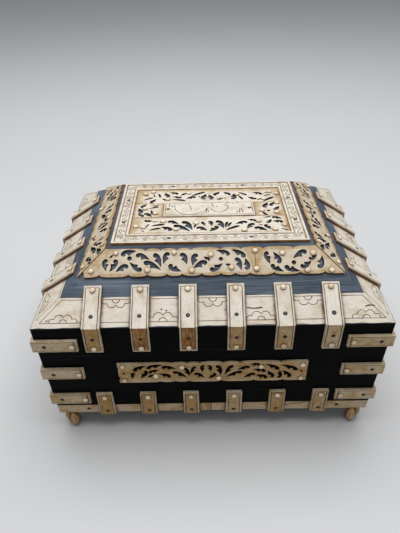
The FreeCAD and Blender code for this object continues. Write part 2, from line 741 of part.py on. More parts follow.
def top_fret(label):
    """Four pierced plates round the plaque, inside the top frame."""
    body = new_body(label)
    gap = "Sizes.piece_gap"
    half_x = f"({HALF_WIDTH} - {FRAME_INNER} - {gap})"
    half_y = f"({HALF_DEPTH} - {FRAME_INNER} - {gap})"
    end_x = f"(Sizes.plaque_length / 2 + {gap})"
    end_y = f"(Sizes.plaque_width / 2 + {gap})"
    row_y = "(Sizes.plaque_width / 2)"
    plates = [
        rectangle(f"-{half_x}", half_x, f"-{half_y}", f"-{end_y}"),
        rectangle(f"-{half_x}", half_x, end_y, half_y),
        rectangle(f"-{half_x}", f"-{end_x}", f"-{row_y}", row_y),
        rectangle(end_x, half_x, f"-{row_y}", row_y),
    ]
    pad(body, polygons(body, "XY_Plane", plates, TOP_HIGH), "Sizes.fret_thickness")
    return body


def top_plaque(label):
    body = new_body(label)
    half_x = "Sizes.plaque_length / 2"
    half_y = "Sizes.plaque_width / 2"
    outline = rectangle(f"-{half_x}", half_x, f"-{half_y}", half_y)
    pad(body, polygons(body, "XY_Plane", [outline], TOP_HIGH), "Sizes.plaque_thickness")
    return body


def foot(label, x_sign, y_sign):
    """A turned bone foot with a spigot that plugs into the floor board."""
    body = new_body(label)
    radius = "Sizes.foot_radius"
    neck = "Sizes.foot_neck_radius"
    height = "Sizes.foot_height"
    end = f"({height} + Sizes.spigot_length)"
    profile = [
        ("0", "0"), ("Sizes.foot_pad_radius", "0"),
        (radius, f"{height} * {FOOT_TOE}"), (radius, f"{height} * {FOOT_ANKLE}"),
        (neck, f"{height} * {FOOT_NECK}"), (radius, f"{height} * {FOOT_COLLAR}"), (radius, height),
        ("Sizes.spigot_radius", height), ("Sizes.spigot_radius", end), ("0", end),
    ]
    turning = body.newObject("PartDesign::Revolution", label + "Turning")
    sketch = polygons(body, "XZ_Plane", [profile])
    turning.Profile = sketch
    turning.ReferenceAxis = (sketch, ["V_Axis"])
    turning.Angle = 360
    placed(body, foot_x(x_sign), foot_y(y_sign), "0")
    return body


def foot_x(sign):
    return f"{sign} * ({HALF_WIDTH} - {lean('Sizes.foot_height')} - Sizes.foot_end_inset)"


def foot_y(sign):
    return f"{sign} * ({HALF_DEPTH} - {lean('Sizes.foot_height')} - Sizes.foot_front_inset)"


FEET = (("front_left", -1, -1), ("front_right", 1, -1), ("back_left", -1, 1), ("back_right", 1, 1))


def spigot_holes():
    holes = []
    for name, x_sign, y_sign in FEET:
        hole = doc.addObject("Part::Cylinder", "spigot_hole_" + name)
        hole.setExpression("Radius", "Sizes.spigot_radius + Sizes.spigot_clearance")
        hole.setExpression("Height", "Sizes.spigot_length + Sizes.spigot_clearance")
        holes.append(placed(hole, foot_x(x_sign), foot_y(y_sign), "Sizes.foot_height"))
    return holes


def hinge_set(owner):
    """The two leaves that one half of the box carries, their screws and the seats for them."""
    places = hinge_screw_sites(owner)
    screw_holes = solids(owner + "_screw_holes", screw_solid(sheet.leaf_fit), places)
    leaves = [hinge_leaf(owner, name, centre, screw_holes) for name, centre in HINGES]
    leaf_node = group(f"hinge_{owner}_leaves", leaves)
    screw_node = solids(f"hinge_{owner}_screws", screw_solid(), places)
    return [leaf_node, screw_node], hinge_seats(owner) + [screw_holes]


def base_pieces(groove):
    """Everything that stays on the table when the lid is opened."""
    nodes, seats = hinge_set("base")
    pins = []
    for name, centre in HINGES:
        span = (f"{centre} - {HALF_HINGE}", f"{centre} + {HALF_HINGE}")
        pins.append(rod("pin_" + name, "Sizes.pin_radius", span))
    nodes.append(group("hinge_pins", pins))
    floor = plank("base_floor_board", ("Sizes.foot_height", lean("Sizes.foot_height")),
                  (FLOOR_TOP, lean(FLOOR_TOP)), extra_inset=BAND)
    floor_drills = []
    corners = []
    all_pegs = []
    all_nails = []
    for side in SIDES:
        sites = base_sites(side)
        all_pegs += sites[0]
        all_nails += sites[1]
        holes = drills(f"base_{side}_drills", sites)
        floor_drills.append(holes)
        board_tools = [holes] if side == "front" else [holes, groove]
        if side == "back":
            board_tools += seats
        nodes.append(cut(f"base_{side}_board", bar(f"base_{side}_board", side, BASE_WALL), board_tools))
        nodes.append(cut(f"plinth_band_{side}", bar(f"plinth_band_{side}", side, PLINTH_BAND), [holes]))
        row = straps(f"base_straps_{side}", side, BASE_STRAP, "Sizes.base_strap_width")
        nodes.append(cut(f"base_straps_{side}", row, [holes]))
        nodes.append(cut(f"fret_panel_{side}", fret_panel(f"fret_panel_{side}", side), [holes]))
        ends = corner_straps(f"base_corners_{side}", side, [CORNER_LOW, CORNER_MIDDLE])
        corners.append(cut(f"base_corners_{side}_drilled", ends, [holes]))
    nodes.append(group("base_corner_straps", corners))
    nodes.append(cut("base_floor_board", floor, spigot_holes() + floor_drills))
    nodes += [foot("foot_" + name, x_sign, y_sign) for name, x_sign, y_sign in FEET]
    nodes.append(solids("base_pegs", peg_solid(), all_pegs))
    nodes.append(solids("base_nails", nail_solid(), all_nails))
    return nodes


def lid_pieces(groove):
    """Everything that swings with the lid."""
    nodes, seats = hinge_set("lid")
    all_pegs, all_nails = top_sites()
    top_holes = drills("lid_top_drills", (all_pegs, all_nails))
    slope_holes = []
    skirt_rows = []
    corners = []
    for side in SIDES:
        sites = lid_sites(side)
        all_pegs = all_pegs + sites[0]
        all_nails = all_nails + sites[1]
        holes = drills(f"lid_{side}_drills", sites)
        slope_holes.append(holes)
        board_tools = [holes] if side == "front" else [holes, groove]
        if side == "back":
            board_tools += seats
        nodes.append(cut(f"lid_skirt_{side}", bar(f"lid_skirt_{side}", side, SKIRT), board_tools))
        nodes.append(cut(f"lid_slope_{side}", bar(f"lid_slope_{side}", side, SLOPE_BOARD), [holes]))
        nodes.append(cut(f"eave_band_{side}", bar(f"eave_band_{side}", side, EAVE_BAND), [holes]))
        row = straps(f"lid_straps_{side}", side, SLOPE_STRAP, "Sizes.lid_strap_width")
        nodes.append(cut(f"lid_straps_{side}", row, [holes]))
        nodes.append(cut(f"slope_fret_{side}", slope_fret(f"slope_fret_{side}", side), [holes]))
        lower_row = straps(f"skirt_straps_{side}", side, skirt_strap(side), "Sizes.lid_strap_width")
        skirt_rows.append(cut(f"skirt_straps_{side}_drilled", lower_row, [holes]))
        ends = corner_straps(f"lid_corners_{side}", side, [lid_corner_level(side)])
        corners.append(cut(f"lid_corners_{side}_drilled", ends, [holes]))
    nodes.append(group("lid_skirt_straps", skirt_rows))
    nodes.append(group("lid_corner_straps", corners))
    top = plank("lid_top_board", (TOP_LOW, TOP_RUN), (TOP_HIGH, "Sizes.lid_run"))
    nodes.append(cut("lid_top_board", top, [top_holes] + slope_holes))
    frame = []
    for side in SIDES:
        frame.append(cut(f"frame_{side}_drilled", bar(f"frame_{side}", side, FRAME_BAR), [top_holes]))
    nodes.append(group("top_frame", frame))
    nodes.append(cut("top_fret", top_fret("top_fret"), [top_holes]))
    nodes.append(cut("top_plaque", top_plaque("top_plaque"), [top_holes]))
    nodes.append(solids("lid_pegs", peg_solid(), all_pegs))
    nodes.append(solids("lid_nails", nail_solid(), all_nails))
    return nodes


def main():
    groove = back_groove()
    nodes = base_pieces(groove) + lid_pieces(groove)
    doc.recompute()
    failed = [item.Label for item in doc.Objects if {"Invalid", "Error"} & set(item.State)]
    if failed:
        raise RuntimeError("not built: " + ", ".join(failed))
    for node in nodes:
        if node.Shape.isNull() or not node.Shape.isValid():
            raise RuntimeError("bad shape: " + node.Label)
    os.makedirs("parts", exist_ok=True)
    for node in nodes:
        node.Shape.exportStep(f"parts/{node.Label}.step")
        print(node.Label, len(node.Shape.Solids), round(node.Shape.Volume, 1))


main()
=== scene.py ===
"""Looks of the bone-clad casket: hand-cut bone plates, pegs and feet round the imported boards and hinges."""

import math
import random
from collections import namedtuple

import bmesh
import bpy
import numpy
from mathutils import Matrix, Vector
from mathutils.geometry import tessellate_polygon


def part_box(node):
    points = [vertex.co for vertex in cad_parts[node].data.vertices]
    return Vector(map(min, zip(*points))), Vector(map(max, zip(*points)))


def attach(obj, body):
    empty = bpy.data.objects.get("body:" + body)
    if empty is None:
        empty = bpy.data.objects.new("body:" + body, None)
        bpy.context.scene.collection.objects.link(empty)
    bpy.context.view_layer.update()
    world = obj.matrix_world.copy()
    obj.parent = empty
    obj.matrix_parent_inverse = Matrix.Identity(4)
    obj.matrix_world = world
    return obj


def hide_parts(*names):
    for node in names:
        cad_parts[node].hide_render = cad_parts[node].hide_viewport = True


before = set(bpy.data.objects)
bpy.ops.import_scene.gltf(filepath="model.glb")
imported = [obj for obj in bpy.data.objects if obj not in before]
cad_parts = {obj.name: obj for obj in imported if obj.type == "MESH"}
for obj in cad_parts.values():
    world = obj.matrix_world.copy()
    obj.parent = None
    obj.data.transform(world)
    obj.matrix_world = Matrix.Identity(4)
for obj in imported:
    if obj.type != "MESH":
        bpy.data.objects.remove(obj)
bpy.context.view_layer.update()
dice = random.Random(11)

MM = 0.001
LOW, HIGH = 0, 1
UPWARD = Vector((0, 0, 1))

# Levels and half sizes of the carcass in millimetres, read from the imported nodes
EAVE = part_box("lid_skirt_front")[HIGH].z / MM
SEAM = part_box("lid_skirt_front")[LOW].z / MM
TOP_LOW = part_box("lid_top_board")[LOW].z / MM
TOP_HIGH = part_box("lid_top_board")[HIGH].z / MM
HALF_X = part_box("eave_band_front")[HIGH].x / MM
HALF_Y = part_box("eave_band_right")[HIGH].y / MM
SLOPE = math.atan2(TOP_LOW - EAVE, HALF_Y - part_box("lid_top_board")[HIGH].y / MM)
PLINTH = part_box("plinth_band_front")
LEAN = math.atan2(HALF_Y + PLINTH[LOW].y / MM, EAVE - PLINTH[HIGH].z / MM)

# Each side: its turn about Z from the front, half its length, and its distance from the middle
SIDES = {
    "front": (0, HALF_X, HALF_Y),
    "right": (90, HALF_Y, HALF_X),
    "back": (180, HALF_X, HALF_Y),
    "left": (270, HALF_Y, HALF_X),
}


def face_place(side, tilt):
    """From millimetres along, up and out of a face to the frame; the origin is the middle of the eave."""
    turn, _, distance = SIDES[side]
    spin = Matrix.Rotation(math.radians(turn), 4, "Z")
    origin = Matrix.Translation((0, -distance * MM, EAVE * MM))
    return spin @ origin @ Matrix.Rotation(tilt, 4, "X") @ Matrix.Scale(MM, 4)


SLOPES = {side: face_place(side, SLOPE) for side in SIDES}
WALLS = {side: face_place(side, math.pi / 2 + LEAN) for side in SIDES}
TOP = Matrix.Translation((0, 0, TOP_HIGH * MM)) @ Matrix.Scale(MM, 4)


def slope_half(side, v):
    """Half the length of a slope at a distance up it."""
    return SIDES[side][1] - v * math.cos(SLOPE)


def wall_half(side, v):
    """Half the length of a wall at a distance up it, which is below zero under the eave."""
    return SIDES[side][1] + v * math.sin(LEAN)


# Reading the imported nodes

# Points closer than this are one point, and the rim of a head begins at this share of its radius
WELD = MM * 1e-3
HEAD_RIM = 0.999

Extent = namedtuple("Extent", "u0 u1 low high w0 w1")
Head = namedtuple("Head", "face u v level height radius")


def islands(node):
    """The separate solids of a node, each as a list of points."""
    mesh = bmesh.new()
    mesh.from_mesh(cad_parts[node].data)
    bmesh.ops.remove_doubles(mesh, verts=mesh.verts, dist=WELD)
    found = []
    seen = set()
    for start in mesh.verts:
        if start in seen:
            continue
        seen.add(start)
        queue = [start]
        for vert in queue:
            for edge in vert.link_edges:
                other = edge.other_vert(vert)
                if other not in seen:
                    seen.add(other)
                    queue.append(other)
        found.append([vert.co.copy() for vert in queue])
    mesh.free()
    return found


def middle(points):
    return sum(points, Vector()) / len(points)


def extent(points, place):
    """The rectangle of a plate on its face, with its span up the face at its back and at its front."""
    inverse = place.inverted()
    local = [inverse @ point for point in points]
    along = [point.x for point in local]
    out = [point.z for point in local]
    half_way = (min(out) + max(out)) / 2
    back = [point.y for point in local if point.z < half_way]
    front = [point.y for point in local if point.z > half_way]
    spans = (min(back), max(back)), (min(front), max(front))
    return Extent(min(along), max(along), spans[0], spans[1], min(out), max(out))


def whole_extent(node, place):
    """The extent of all the solids of a node together."""
    return extent([point for solid in islands(node) for point in solid], place)


def centres_along(node, place):
    """The middles of a node's solids along a face, from left to right."""
    return sorted(middle([place.inverted() @ point for point in solid]).x for solid in islands(node))


def own_side(points):
    """The side whose wall a plate lies on."""
    centre = middle(points)
    return min(SIDES, key=lambda side: abs((WALLS[side].inverted() @ centre).z))


def lies_on(points):
    """The face that a peg or nail stands on: the nearest of those that its length is square to."""
    def misfit(place):
        inverse = place.inverted()
        spread = [(inverse @ point).xy for point in points]
        width = max((point - spread[0]).length for point in spread)
        return width + abs((inverse @ middle(points)).z)

    return min([*SLOPES.values(), *WALLS.values(), TOP], key=misfit)


def heads(node):
    """The heads of a node's pegs or nails, each in the measures of the face that it stands on."""
    found = []
    for points in islands(node):
        face = lies_on(points)
        local = [face.inverted() @ point for point in points]
        centre = middle(local).xy
        top = max(point.z for point in local)
        radius = max((point.xy - centre).length for point in local)
        level = max(point.z for point in local if (point.xy - centre).length > radius * HEAD_RIM)
        found.append(Head(face, centre.x, centre.y, level, top - level, radius))
    return found


PEG_HEADS = {node: heads(node) for node in ("base_pegs", "lid_pegs")}


# Outlines

def smooth(points, corners=(0,), steps=3):
    """A closed outline through the points, rounded everywhere but at the corners."""
    count = len(points)
    made = []
    for index in range(count):
        p1 = Vector(points[index])
        p2 = Vector(points[(index + 1) % count])
        p0 = p1 if index in corners else Vector(points[index - 1])
        p3 = p2 if (index + 1) % count in corners else Vector(points[(index + 2) % count])
        for step in range(steps):
            t = step / steps
            made.append(tuple(0.5 * (2 * p1 + (p2 - p0) * t + (2 * p0 - 5 * p1 + 4 * p2 - p3) * t ** 2
                                     + (3 * p1 - p0 - 3 * p2 + p3) * t ** 3)))
    return made


def arc(centre, radius, start, end, steps=10):
    """Points on an arc between two angles in degrees."""
    made = []
    for step in range(steps + 1):
        angle = math.radians(start + (end - start) * step / steps)
        made.append((centre[0] + radius * math.cos(angle), centre[1] + radius * math.sin(angle)))
    return made


def circle(centre, radius, count):
    """A full circle of points."""
    return arc(centre, radius, 0, 360 - 360 / count, count - 1)


def rectangle(u0, u1, v0, v1):
    return [(u0, v0), (u1, v0), (u1, v1), (u0, v1)]


# A leaf from its tip at 0, 0 to its head at 1, 0, with a barb on its underside
LEAF = ((0, 0), (0.22, 0.16), (0.5, 0.29), (0.78, 0.3), (0.97, 0.17), (1.02, 0), (0.9, -0.14), (0.76, -0.1),
        (0.7, 0.03), (0.62, -0.03), (0.55, -0.21), (0.36, -0.08), (0.18, -0.03))
LEAF_CORNERS = (0, 10)

# A plain seed between the same two points
SEED = ((0, 0), (0.22, 0.1), (0.5, 0.15), (0.8, 0.14), (1, 0.03), (0.96, -0.08), (0.7, -0.1),
        (0.4, -0.07), (0.2, -0.05))
SEED_CORNERS = (0,)


def cut_out(tip, head, side, broad, length):
    """A leaf with its back to the left for side 1 or to the right for side -1; a seed for side 0."""
    along = Vector(head) - Vector(tip)
    start = Vector(tip) - along * (length - 1) / 2
    along *= length
    across = Vector((-along.y, along.x)).normalized() * (side or 1) * min(along.length, broad * length)
    shape, corners = (LEAF, LEAF_CORNERS) if side else (SEED, SEED_CORNERS)
    return smooth([tuple(start + along * x + across * y) for x, y in shape], corners)


def signed_area(loop):
    pairs = zip(loop, loop[1:] + loop[:1])
    return sum(a[0] * b[1] - b[0] * a[1] for a, b in pairs) / 2


NO_LENGTH = 1e-6


def left_shift(loop, distance, limit=2.0):
    """A closed outline moved to the left of its way round, with its sharp corners held back."""
    made = []
    for index, point in enumerate(loop):
        here = Vector(point)
        before = (here - Vector(loop[index - 1])).normalized()
        after = (Vector(loop[(index + 1) % len(loop)]) - here).normalized()
        normal = Vector((-before.y - after.y, before.x + after.x))
        if normal.length < NO_LENGTH:
            normal = Vector((-after.y, after.x))
        normal.normalize()
        lean = max(normal.dot(Vector((-after.y, after.x))), 1 / limit)
        made.append(tuple(here + normal * distance / lean))
    return made


def hand_edge(start, end, wobble, pitch=7.0):
    """Points from one corner towards the next, a little off the straight line."""
    start = Vector(start)
    end = Vector(end)
    steps = max(1, round((end - start).length / pitch))
    across = Vector((start.y - end.y, end.x - start.x)).normalized()
    made = [tuple(start)]
    for step in range(1, steps):
        point = start.lerp(end, step / steps) + across * dice.uniform(-wobble, wobble)
        made.append(tuple(point))
    return made


def hand_outline(corners, wobble=0.12):
    """A polygon as cut by hand."""
    made = []
    for index, corner in enumerate(corners):
        made += hand_edge(corner, corners[(index + 1) % len(corners)], wobble)
    return made


SCALLOP_REACH = 8.0
SCALLOP_STOPS = (-1, -0.6, -0.3, -0.1, 0, 0.1, 0.3, 0.6, 1)


def scalloped_edge(start, end, level, inward, notches, depth):
    """An edge along the face with cusped notches; points run from start to end without the end point."""
    stops = {start}
    for notch in notches:
        for share in SCALLOP_STOPS:
            place = notch + share * SCALLOP_REACH
            if min(start, end) < place < max(start, end):
                stops.add(place)
    made = []
    for u in sorted(stops, reverse=end < start):
        near = min([abs(u - notch) / SCALLOP_REACH for notch in notches] + [1])
        dip = depth * (1 - math.sqrt(1 - (1 - near) ** 2))
        made.append((u, level + inward * dip))
    return made


def scalloped_strip(low_ends, high_ends, span, notches, depth):
    """The outline of a strip that is scalloped along both of its long edges."""
    made = []
    edges = ((low_ends, 1), (high_ends[::-1], -1))
    for ((start, end), inward), level, row in zip(edges, span, notches):
        made += scalloped_edge(start, end, level, inward, row, depth)
        made.append((end, level))
    return made


# Shells: points in millimetres, faces between them, and the zone of a plate that each point lies in

# The walls of the openings are a zone of their own, painted near black as shade.
SIDE, BRINK, RIM, INNER, SHADED_HOLE_WALL = range(5)
Shell = namedtuple("Shell", "points faces zones")


def quads(first, second, count):
    """The faces that join two rings of points, each ring given by the number of its first point."""
    made = []
    for index in range(count):
        following = (index + 1) % count
        made.append((first + index, first + following, second + following, second + index))
    return made


def plate(outline, holes, low, high, bevel):
    """A flat plate with holes whose upper edges are eased."""
    loops = [outline if signed_area(outline) > 0 else outline[::-1]]
    loops += [hole if signed_area(hole) < 0 else hole[::-1] for hole in holes]
    eased = [left_shift(loop, bevel) for loop in loops]
    count = sum(len(loop) for loop in loops)
    points = []
    zones = []
    layers = ((loops, low, SIDE, SHADED_HOLE_WALL), (loops, high - bevel, BRINK, SHADED_HOLE_WALL), (eased, high, RIM, INNER))
    for layer, level, outer_zone, hole_zone in layers:
        points += [(x, y, level) for loop in layer for x, y in loop]
        zones += [outer_zone] * len(outline) + [hole_zone] * (count - len(outline))
    faces = []
    first = 0
    for loop in loops:
        for start in (first, first + count):
            faces += quads(start, start + count, len(loop))
        first += len(loop)
    for layer, offset, up in ((loops, 0, False), (eased, 2 * count, True)):
        rings = [[Vector((x, y, 0)) for x, y in loop] for loop in layer]
        flat = sum(rings, [])
        for a, b, c in tessellate_polygon(rings):
            turns_left = (flat[b] - flat[a]).cross(flat[c] - flat[a]).z > 0
            corner = (a, b, c) if turns_left == up else (a, c, b)
            faces.append(tuple(offset + index for index in corner))
    return Shell(points, faces, zones)


# Engraved lines: how far a filled line reaches into the bone and stands out of it, and how its width wavers
LINE_DEPTH = 0.3
LINE_RISE = 0.045
LINE_WAVER = (0.75, 1.2)
DOT_RADIUS = 0.45
DOT_SIDES = 8


def line_shell(path, normals, width, closed):
    """A thin strip along a path, let into a surface that faces the given ways."""
    count = len(path)
    points = []
    for index, (here, normal) in enumerate(zip(path, normals)):
        before = path[index - 1] if index or closed else here
        after = path[(index + 1) % count] if index < count - 1 or closed else here
        along = (after - before).normalized()
        half = normal.cross(along) * width / 2 * dice.uniform(*LINE_WAVER)
        for side, rise in ((half, -LINE_DEPTH), (-half, -LINE_DEPTH), (-half, LINE_RISE), (half, LINE_RISE)):
            points.append(tuple(here + side + normal * rise))
    faces = []
    for index in range(count if closed else count - 1):
        faces += quads(4 * index, 4 * ((index + 1) % count), 4)
    if not closed:
        last = 4 * (count - 1)
        faces += [(3, 2, 1, 0), (last, last + 1, last + 2, last + 3)]
    return Shell(points, faces, [INNER] * len(points))


def open_curve(points, steps=4):
    """A rounded path through the points from the first to the last."""
    rounded = smooth(points, (0, len(points) - 1), steps)
    return rounded[:steps * (len(points) - 1)] + [points[-1]]


def between(start, end, pitch=6.0):
    """A straight path cut into steps, so that an engraved line can vary along it."""
    steps = max(2, round((Vector(end) - Vector(start)).length / pitch))
    return [tuple(Vector(start).lerp(Vector(end), step / steps)) for step in range(steps + 1)]


def turned(profile, sides, squash=(1, 1)):
    """A closed shell turned from points of radius and height, from its lower middle to its upper middle."""
    points = [(0, 0, profile[0][1])]
    for radius, height in profile[1:-1]:
        for index in range(sides):
            angle = math.tau * index / sides
            x = radius * squash[0] * math.cos(angle)
            y = radius * squash[1] * math.sin(angle)
            points.append((x, y, height))
    points.append((0, 0, profile[-1][1]))
    top = len(points) - 1
    last = top - sides
    faces = []
    for start in range(1, last, sides):
        faces += quads(start, start + sides, sides)
    for index in range(sides):
        following = (index + 1) % sides
        faces += [(0, 1 + following, 1 + index), (last + index, last + following, top)]
    return Shell(points, faces, [INNER] * len(points))


def new_object(name, data):
    made = bpy.data.objects.new(name, data)
    bpy.context.scene.collection.objects.link(made)
    return made


# The tone that paints the walls of the openings near black, as shade.
NEAR_BLACK_SHADE_TONE = 3.0
GRAIN_SHIFT = 400


class Piece:
    """One visual piece: closed shells, each with a material, the way of its grain and a tone."""

    def __init__(self, *materials):
        self.materials = materials
        self.points = []
        self.faces = []
        self.slots = []
        self.grain = []
        self.tone = []
        self.worn = []
        self.smooth = []
        self.place = None
        self.level = None

    def add(self, shell, place, slot=0, tone=0.3, rim=None, side=None, worn=0.0,
            upright=False, rounded=False):
        """Adds a shell; a plate's upper edge and sides can have their own tones, and its sides be worn."""
        first = len(self.points)
        shift = Vector([dice.uniform(-GRAIN_SHIFT, GRAIN_SHIFT) for _ in range(3)])
        edge = tone if rim is None else rim
        wall = edge if side is None else side
        # The walls of the openings take the near-black tone of painted shade.
        tones = {SIDE: wall, BRINK: edge, RIM: edge, INNER: tone, SHADED_HOLE_WALL: NEAR_BLACK_SHADE_TONE}
        for point, zone in zip(shell.points, shell.zones):
            u, v, w = point
            self.points.append(place @ Vector(point))
            self.grain.append(shift + Vector((v, u, w) if upright else (u, v, w)))
            self.tone.append(tones[zone])
            self.worn.append(worn if zone in (SIDE, BRINK) else 0.0)
        for face in shell.faces:
            self.faces.append([first + index for index in face])
            self.slots.append(slot)
            self.smooth.append(rounded)

    def draws_on(self, place, level):
        """Chooses the face and the level that lines are engraved at from here on."""
        self.place = place
        self.level = level

    def draw(self, path, width, closed=False):
        """Engraves a line, filled with dark stain."""
        path = [Vector((u, v, self.level)) for u, v in path]
        self.add(line_shell(path, [UPWARD] * len(path), width, closed), self.place, slot=1)

    def rule(self, start, end, width):
        self.draw(between(start, end), width)

    def dot(self, centre, width):
        self.draw(circle(centre, DOT_RADIUS, DOT_SIDES), width, True)

    def make(self, name, body, nodes):
        mesh = bpy.data.meshes.new(name)
        mesh.from_pydata(self.points, [], self.faces)
        for material in self.materials:
            mesh.materials.append(material)
        mesh.polygons.foreach_set("material_index", self.slots)
        mesh.polygons.foreach_set("use_smooth", self.smooth)
        grain = mesh.attributes.new("grain", "FLOAT_VECTOR", "POINT")
        grain.data.foreach_set("vector", [value for vector in self.grain for value in vector])
        for attribute, values in (("tone", self.tone), ("worn", self.worn)):
            mesh.attributes.new(attribute, "FLOAT", "POINT").data.foreach_set("value", values)
        mesh.update()
        piece = new_object(name, mesh)
        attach(piece, body)
        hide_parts(*nodes)


# Materials

class Shader:
    """A material whose nodes are added and joined one at a time."""

    MIX_INPUTS = (0, 6, 7)
    MIX_OUTPUT = 2

    def __init__(self, name):
        self.material = bpy.data.materials.new(name)
        self.material.use_nodes = True
        self.tree = self.material.node_tree
        self.surface = self.tree.nodes["Principled BSDF"]

    def put(self, socket, value):
        """Joins a socket to another or sets its value; a colour comes without its alpha."""
        if isinstance(value, bpy.types.NodeSocket):
            self.tree.links.new(value, socket)
        elif socket.type == "RGBA":
            socket.default_value = (*value, 1)
        else:
            socket.default_value = value

    def node(self, kind, inputs, output=0, **settings):
        made = self.tree.nodes.new("ShaderNode" + kind)
        for name, value in settings.items():
            setattr(made, name, value)
        for key, value in inputs.items():
            self.put(made.inputs[key], value)
        return made.outputs[output]

    def attribute(self, name, output):
        return self.node("Attribute", {}, output, attribute_name=name)

    def noise(self, coordinates, scale, detail=4.0, roughness=0.55):
        inputs = {"Vector": coordinates, "Scale": scale, "Detail": detail, "Roughness": roughness}
        return self.node("TexNoise", inputs, "Fac")

    def stretch(self, coordinates, factors):
        return self.node("VectorMath", {0: coordinates, 1: factors}, operation="MULTIPLY")

    def span(self, value, low, high, to_low=0.0, to_high=1.0):
        inputs = {"Value": value, "From Min": low, "From Max": high, "To Min": to_low, "To Max": to_high}
        return self.node("MapRange", inputs, clamp=True)

    def math(self, operation, first, second):
        return self.node("Math", {0: first, 1: second}, operation=operation, use_clamp=True)

    def product(self, first, second):
        return self.math("MULTIPLY", first, second)

    def mix(self, factor, first, second):
        inputs = zip(self.MIX_INPUTS, (factor, first, second))
        return self.node("Mix", dict(inputs), self.MIX_OUTPUT, data_type="RGBA")

    def layers(self, colour, *coats):
        """A colour with others laid over it, each by a factor of its own."""
        for factor, coat in coats:
            colour = self.mix(factor, colour, coat)
        return colour

    def crevices(self, distance, inside=False):
        """How much a point is shut in by what lies close to it, or how near it is to an outer edge."""
        shut = self.node("AmbientOcclusion", {"Distance": distance}, "AO", samples=8, inside=inside)
        return self.math("SUBTRACT", 1.0, shut)

    def bump(self, height, strength, distance):
        return self.node("Bump", {"Height": height, "Strength": strength, "Distance": distance})

    def finish(self, **inputs):
        for name, value in inputs.items():
            self.put(self.surface.inputs[name.replace("_", " ")], value)
        return self.material


# Colours that lie over plain bone
SMOKE_AND_SHADE = (0.33, 0.115, 0.018)
MOTTLE = (0.19, 0.08, 0.025)
SCORCH_AND_SHADE = (0.1, 0.036, 0.012)
BLEACH = (0.62, 0.46, 0.26)
FIBRE = (0.36, 0.25, 0.13)
PORE = (0.17, 0.1, 0.05)
# Brown of dirt and painted shade in crevices
DIRT_AND_SHADE = (0.15, 0.06, 0.02)
# Near-black painted shade for the walls of the openings and the darkest shaded sides
NEAR_BLACK_SHADE = (0.05, 0.044, 0.037)


def bone_material(name, light, amber, shade_and_dirt_reach=0.003, gloss=0.5):
    """Polished bone: lengthwise fibres and pores, amber blotches, smoke that also paints shade, and brown
    dirt with painted shade where things meet.
    """
    shader = Shader(name)
    grain = shader.attribute("grain", "Vector")
    tone = shader.attribute("tone", "Fac")
    fibres = shader.noise(shader.stretch(grain, (0.1, 1.0, 1.0)), 1.5, 6.0, 0.6)
    pores = shader.noise(shader.stretch(grain, (0.25, 2.6, 2.6)), 1.1, 3.0)
    blotches = shader.noise(grain, 0.09, 4.0, 0.6)
    mottle = shader.noise(shader.stretch(grain, (0.4, 1.0, 1.0)), 0.45, 5.0, 0.65)
    aged = shader.span(tone, 0.35, 1.0)
    stain = shader.math("ADD", shader.product(tone, 0.85), shader.span(blotches, 0.48, 0.78, 0.0, 0.6))
    # Darkening in crevices and where parts meet, by ambient occlusion: dirt, and painted shade.
    crevice_shade_and_dirt = shader.math("ADD", shader.span(shader.crevices(shade_and_dirt_reach), 0.05, 0.45),
                       shader.span(shader.crevices(3 * shade_and_dirt_reach), 0.03, 0.4, 0.0, 0.45))
    patchy_shade_and_dirt = shader.product(crevice_shade_and_dirt, shader.span(blotches, 0.3, 0.56, 0.45, 1.0))
    # Worn side faces are kept clear of that darkening.
    clear_of_shade_and_dirt = shader.math("SUBTRACT", 1.0, shader.attribute("worn", "Fac"))
    colour = shader.layers(
        light,
        (stain, amber),
        # Smoke and scorch grow with the tone: stains, and painted shade on the darker wall pieces and shaded
        # sides.
        (shader.product(shader.span(tone, 0.9, 1.9), shader.span(blotches, 0.3, 0.62, 0.35, 1.0)), SMOKE_AND_SHADE),
        (shader.product(aged, shader.span(mottle, 0.5, 0.68, 0.0, 0.6)), MOTTLE),
        (shader.product(shader.span(tone, 1.2, 2.0), shader.span(mottle, 0.46, 0.62, 0.0, 0.6)), SCORCH_AND_SHADE),
        (shader.product(aged, shader.span(mottle, 0.47, 0.32, 0.0, 0.4)), BLEACH),
        (shader.span(fibres, 0.42, 0.72, 0.0, 0.34), FIBRE),
        (shader.span(pores, 0.64, 0.76, 0.0, 0.5), PORE),
        (shader.product(patchy_shade_and_dirt, clear_of_shade_and_dirt), DIRT_AND_SHADE),
        # Tones above 2 paint near-black shade on shaded sides and in the openings.
        (shader.span(tone, 2.0, NEAR_BLACK_SHADE_TONE), NEAR_BLACK_SHADE))
    rough = shader.span(fibres, 0.3, 0.7, 0.36, 0.52)
    return shader.finish(Base_Color=colour, Roughness=rough, Specular_IOR_Level=gloss,
                         Normal=shader.bump(fibres, 0.25, 0.0001))


def line_material():
    """Dark stain rubbed into the engraved lines, worn paler here and there."""
    shader = Shader("engraved_line")
    grain = shader.attribute("grain", "Vector")
    wear = shader.span(shader.noise(grain, 0.35, 4.0, 0.65), 0.38, 0.68)
    colour = shader.mix(wear, (0.035, 0.02, 0.012), (0.2, 0.12, 0.065))
    return shader.finish(Base_Color=colour, Roughness=0.6)


